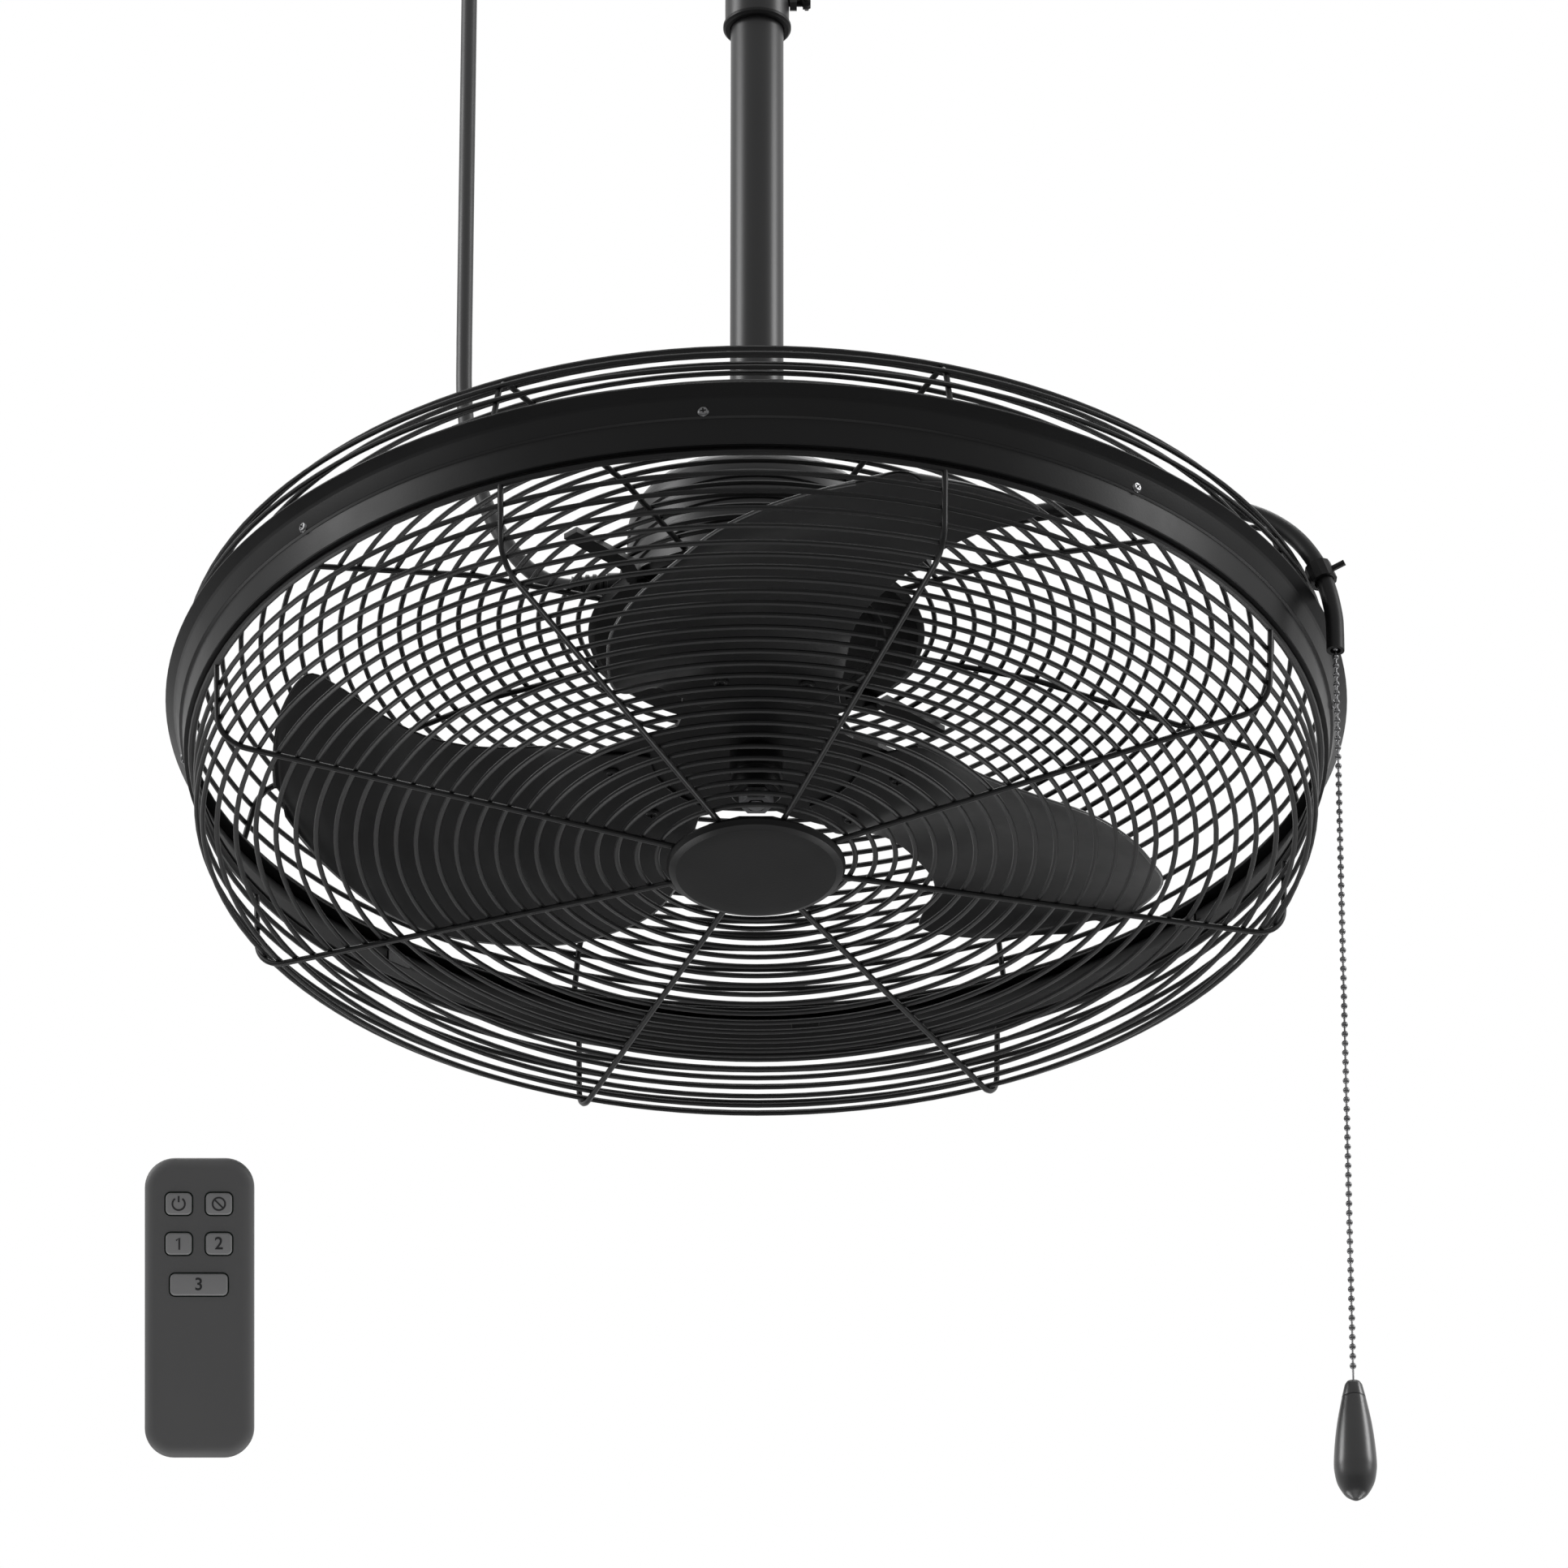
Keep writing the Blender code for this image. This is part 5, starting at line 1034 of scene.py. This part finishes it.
def make_hub():
    """The hub's boss, and the three-armed spider that carries the blades."""
    top = above_rim(HUB_TOP)
    low = above_rim(HUB_BOTTOM)
    waist = HUB_R - HUB_GROOVE
    boss = [(HUB_BORE, top), (HUB_R * 0.8, top), (HUB_R, top - 0.0026), (HUB_R, low + 0.010),
            (waist, low + 0.0092), (waist, low + 0.0070), (HUB_R, low + 0.0062), (HUB_R, low + HUB_GROOVE),
            (waist, low), (HUB_BORE, low)]
    spider_low = above_rim(BLADE_Z) + BLADE_T / 2 + SEAT
    outline = []
    for number in range(BLADE_COUNT):
        turn = sum(BLADE_SCREW_ANGLES) / 2 + number * BLADE_SPACING
        for step in range(-6, 7):
            outline.append(polar(BLADE_FLAT_R - 0.001, turn + step * SPIDER_ARM / 6))
        for share in (0.2, 0.35, 0.5, 0.65, 0.8):
            dip = SPIDER_DIP_R + 0.014 * (share - 0.5) ** 2 / 0.09
            outline.append(polar(dip, turn + SPIDER_ARM + (BLADE_SPACING - 2 * SPIDER_ARM) * share))
    outline = soften(outline, 0.004, True)
    spider = loft([(outline, spider_low), (outline, spider_low + SPIDER_T)])
    piece("hub_body", joined([turned(boss, ROUND, True, 0.0005), spider]), BLADE, "rotor", "blade_paint",
          "blade_hub")


make_blades()
make_hub()


# Chain guide, pull chain and its knob

# The guide's route out from the motor and down behind the rim: radius, and height over the rim
GUIDE_ROUTE = (
    (0.0875, 0.0960), (0.1150, 0.0965), (0.1550, 0.0955), (0.1950, 0.0915), (0.2250, 0.0850),
    (0.2480, 0.0755), (0.2650, 0.0655), (0.2790, 0.0520), (0.2890, 0.0360), (0.2950, 0.0190),
    (0.2980, 0.0030), (GUIDE_END_R, -0.0070), (GUIDE_END_R, -0.0180),
)
# The pull's outline from its crown down, as shares of its radius and of its length with the bell
DROP_FORM = ((0.42, 0.034), (0.61, 0.178), (0.80, 0.347), (0.93, 0.517), (1.00, 0.686), (0.97, 0.771),
             (0.86, 0.856), (0.59, 0.940), (0.37, 0.975), (0.15, 0.998), (0.04, 1.0))
DROP_NECK = 0.57


def make_guide():
    line = smooth_line([polar(r, CHAIN_AZIMUTH, above_rim(z)) for r, z in GUIDE_ROUTE], LINE_STEPS)
    piece("guide_tube", pipe(line, GUIDE_R, GUIDE_BORE_R, 24), PLASTIC, "fan", "black_plastic", "chain_guide")


def make_chain():
    """Beads on a thin wire, from inside the guide down to the bell."""
    at = polar(GUIDE_END_R, CHAIN_AZIMUTH)
    high = above_rim(CHAIN_TOP)
    bead = turned([(BEAD_R * math.sin(math.pi * k / 8), BEAD_R * math.cos(math.pi * k / 8))
                   for k in range(9)], 12)
    meshes = []
    for i in range(int((CHAIN_TOP - CHAIN_LOW) / BEAD_PITCH)):
        meshes.append((bead, Matrix.Translation((at.x, at.y, high - 0.0017 - i * BEAD_PITCH))))
    meshes.append(tube([(at.x, at.y, high - 0.001), (at.x, at.y, above_rim(CHAIN_LOW))], LINK_R))
    piece("bead_chain", joined(meshes), BEADS, "pull", "chain_metal", "pull_chain")


def make_pull():
    """The bell at the chain's end and the drop below it, which share one outline."""
    top = above_rim(CHAIN_LOW) - SEAT
    full = BELL_L + SEAT + PULL_L
    stand = Matrix.Translation(polar(GUIDE_END_R, CHAIN_AZIMUTH))
    bell = [(0, top), (PULL_R * 0.17, top), (PULL_R * 0.34, top - 0.0007)]
    bell += [(PULL_R * r, top - full * z) for r, z in DROP_FORM if z < BELL_L / full]
    bell += [(PULL_R * DROP_NECK, top - BELL_L), (0, top - BELL_L)]
    piece("bell_cap", turned(bell, 48, soft=0.0003), LACQUER, "pull", "chain_metal", "chain_bell",
          place=stand)
    neck = (BELL_L + SEAT) / full
    form = [(DROP_NECK, neck), *[(r, z) for r, z in DROP_FORM if z > neck]]
    drop = smooth_line([(PULL_R * r, top - full * z) for r, z in form], 6)
    drop = [(0, top - BELL_L - SEAT), *drop, (0, top - full)]
    piece("pull_drop", turned(drop, ROUND), LACQUER, "pull", "pull_lacquer", "pull_knob", place=stand)


make_guide()
make_chain()
make_pull()


# Remote

# Keys: node, place across and along, width, and the symbol printed on them
BUTTONS = (
    ("button_power", -BUTTON_X, BUTTON_ROWS[0], BUTTON_W, "power"),
    ("button_off", BUTTON_X, BUTTON_ROWS[0], BUTTON_W, "barred"),
    ("button_1", -BUTTON_X, BUTTON_ROWS[1], BUTTON_W, "1"),
    ("button_2", BUTTON_X, BUTTON_ROWS[1], BUTTON_W, "2"),
    ("button_3", 0.0, BUTTON_ROWS[2], BUTTON_WIDE, "3"),
)
# Drawn symbols are tubes pressed flat to this share of their height
MARK_FLAT = Matrix.Diagonal((1, 1, 0.3, 1))


def remote_place():
    """The remote stands with its face tilted down towards the camera."""
    tilt = math.radians(REMOTE_TILT)
    turn = Matrix(((1, 0, 0, 0),
                   (0, -math.sin(tilt), -math.cos(tilt), 0),
                   (0, math.cos(tilt), -math.sin(tilt), 0),
                   (0, 0, 0, 1)))
    x, y, z = REMOTE_AT
    return Matrix.Translation((x, y, above_rim(z))) @ turn


def flat_line(points):
    """A printed line along flat points."""
    return tube([(x, y, 0.0) for x, y in points], MARK_LINE / 2, 6)


def arc_points(radius, start, end, steps=24):
    turns = [math.radians(start + (end - start) * i / steps) for i in range(steps + 1)]
    return [(radius * math.cos(turn), radius * math.sin(turn)) for turn in turns]


def letter(text):
    curve = bpy.data.curves.new("letter", "FONT")
    curve.body = text
    curve.size = MARK_LETTER
    curve.extrude = 0.00006
    curve.offset = 0.00012
    curve.align_x = "CENTER"
    curve.align_y = "CENTER"
    return applied(added("letter", curve))


def mark_of(symbol):
    """The mesh of a key's symbol, on z 0."""
    if symbol == "power":
        lines = (arc_points(MARK_RING_R, 125, 415), [(0, 0.0008), (0, 0.0038)])
    elif symbol == "barred":
        lines = (arc_points(MARK_RING_R, 0, 360), [(-0.0021, 0.0021), (0.0021, -0.0021)])
    elif symbol == "1":
        lines = ([(-0.0012, 0.0016), (0.0003, 0.0027), (0.0003, -0.0028)],)
    else:
        return joined([letter(symbol)])
    return joined([(flat_line(line), MARK_FLAT) for line in lines])


def make_remote():
    place = remote_place()
    half = REMOTE_T / 2
    seam = SEAT / 2
    front = slab(REMOTE_W, REMOTE_L, REMOTE_CORNER, seam, half, REMOTE_SEAM_EDGE, REMOTE_BEVEL, steps=12,
                 lean=REMOTE_BEVEL_LEAN)
    wells = [slab(width + 2 * WELL_GAP, BUTTON_H + 2 * WELL_GAP, BUTTON_CORNER + WELL_GAP, half - WELL_DEPTH,
                  REMOTE_T, 0.0001, 0.0001, (x, y)) for _, x, y, width, _ in BUTTONS]
    piece("remote_top", cut_with(front, wells), SHELL, "remote", "remote_shell_plastic", "remote_front",
          place=place)
    back = slab(REMOTE_W, REMOTE_L, REMOTE_CORNER, -half, -seam, REMOTE_BACK_EDGE, REMOTE_SEAM_EDGE, steps=12)
    well = slab(DOOR_W + 2 * SEAT, DOOR_L + 2 * SEAT, DOOR_CORNER + SEAT, -REMOTE_T, -half + DOOR_T + SEAT,
                0.0001, 0.0001, (0, DOOR_Y))
    piece("remote_under", cut_with(back, [well]), SHELL, "remote", "remote_shell_plastic", "remote_back",
          place=place)
    door = slab(DOOR_W, DOOR_L, DOOR_CORNER, -half, -half + DOOR_T, 0.0003, 0.0002, (0, DOOR_Y))
    piece("remote_cover", door, SHELL, "remote_door", "remote_shell_plastic", "remote_battery_door",
          place=place)
    high = half + BUTTON_PROUD
    for name, x, y, width, symbol in BUTTONS:
        key = slab(width, BUTTON_H, BUTTON_CORNER, high - BUTTON_DEPTH, high, 0.0002, 0.0008, (x, y))
        piece(name + "_cap", key, BUTTON, name + "_key", "button_rubber", name, place=place)
        piece(name + "_mark", mark_of(symbol), PRINT, name + "_key", "button_rubber",
              place=place @ Matrix.Translation((x, y, high + 0.00005)))


make_remote()


# Floor, light and background

FLOOR_Z = -4.9
FLOOR_SIZE = 14
FLOOR_COLOUR = (0.86, 0.86, 0.86, 1)
WHITE = (1, 1, 1, 1)
AMBIENT = 0.35
# Area lamps that look at the fan: name, place, width and height, and power
LAMPS = (
    ("left", (-3.7, -0.65, 1.4), (1.5, 2.2), 120.0), ("right", (3.7, -0.65, 1.4), (1.3, 2.2), 110.0),
    ("low_left", (-2.4, 1.6, -3.6), (1.6, 1.6), 75.0), ("low_right", (2.4, 1.6, -3.6), (1.6, 1.6), 75.0),
    ("under", (0.0, -0.4, -4.4), (2.4, 1.6), 25.0), ("over", (0.0, 1.0, 2.6), (2.4, 2.4), 60.0),
)


def make_floor():
    bm = bmesh.new()
    bmesh.ops.create_grid(bm, x_segments=1, y_segments=1, size=FLOOR_SIZE)
    mesh = bpy.data.meshes.new("floor")
    bm.to_mesh(mesh)
    bm.free()
    pale = bpy.data.materials.new("pale_floor")
    pale.use_nodes = True
    shader = pale.node_tree.nodes["Principled BSDF"]
    shader.inputs["Base Color"].default_value = FLOOR_COLOUR
    shader.inputs["Roughness"].default_value = 0.7
    mesh.materials.append(pale)
    floor = added("floor", mesh)
    floor.location = (0, 0, FLOOR_Z)


def make_world():
    """White to the camera, in reflections and through glass, and a dimmer even light on the fan."""
    world = bpy.data.worlds.new("studio")
    bpy.context.scene.world = world
    world.use_nodes = True
    tree = world.node_tree
    tree.nodes.clear()
    out = tree.nodes.new("ShaderNodeOutputWorld")
    mix = tree.nodes.new("ShaderNodeMixShader")
    for socket, strength in ((1, AMBIENT), (2, 1.0)):
        light = tree.nodes.new("ShaderNodeBackground")
        light.inputs["Color"].default_value = WHITE
        light.inputs["Strength"].default_value = strength
        tree.links.new(light.outputs[0], mix.inputs[socket])
    path = tree.nodes.new("ShaderNodeLightPath")
    shown = path.outputs["Is Camera Ray"]
    for ray in ("Is Glossy Ray", "Is Transmission Ray"):
        most = tree.nodes.new("ShaderNodeMath")
        most.operation = "MAXIMUM"
        tree.links.new(shown, most.inputs[0])
        tree.links.new(path.outputs[ray], most.inputs[1])
        shown = most.outputs[0]
    tree.links.new(shown, mix.inputs["Fac"])
    tree.links.new(mix.outputs[0], out.inputs["Surface"])


def make_lamps():
    middle = Vector((0, 0, RIM_Z))
    for name, at, size, power in LAMPS:
        data = bpy.data.lights.new(name, "AREA")
        data.shape = "RECTANGLE"
        data.size, data.size_y = size
        data.energy = power
        lamp = added(name, data)
        lamp.location = at
        lamp.rotation_euler = (middle - Vector(at)).to_track_quat("-Z", "Y").to_euler()


make_floor()
make_world()
make_lamps()
bpy.context.scene.view_settings.view_transform = "Standard"
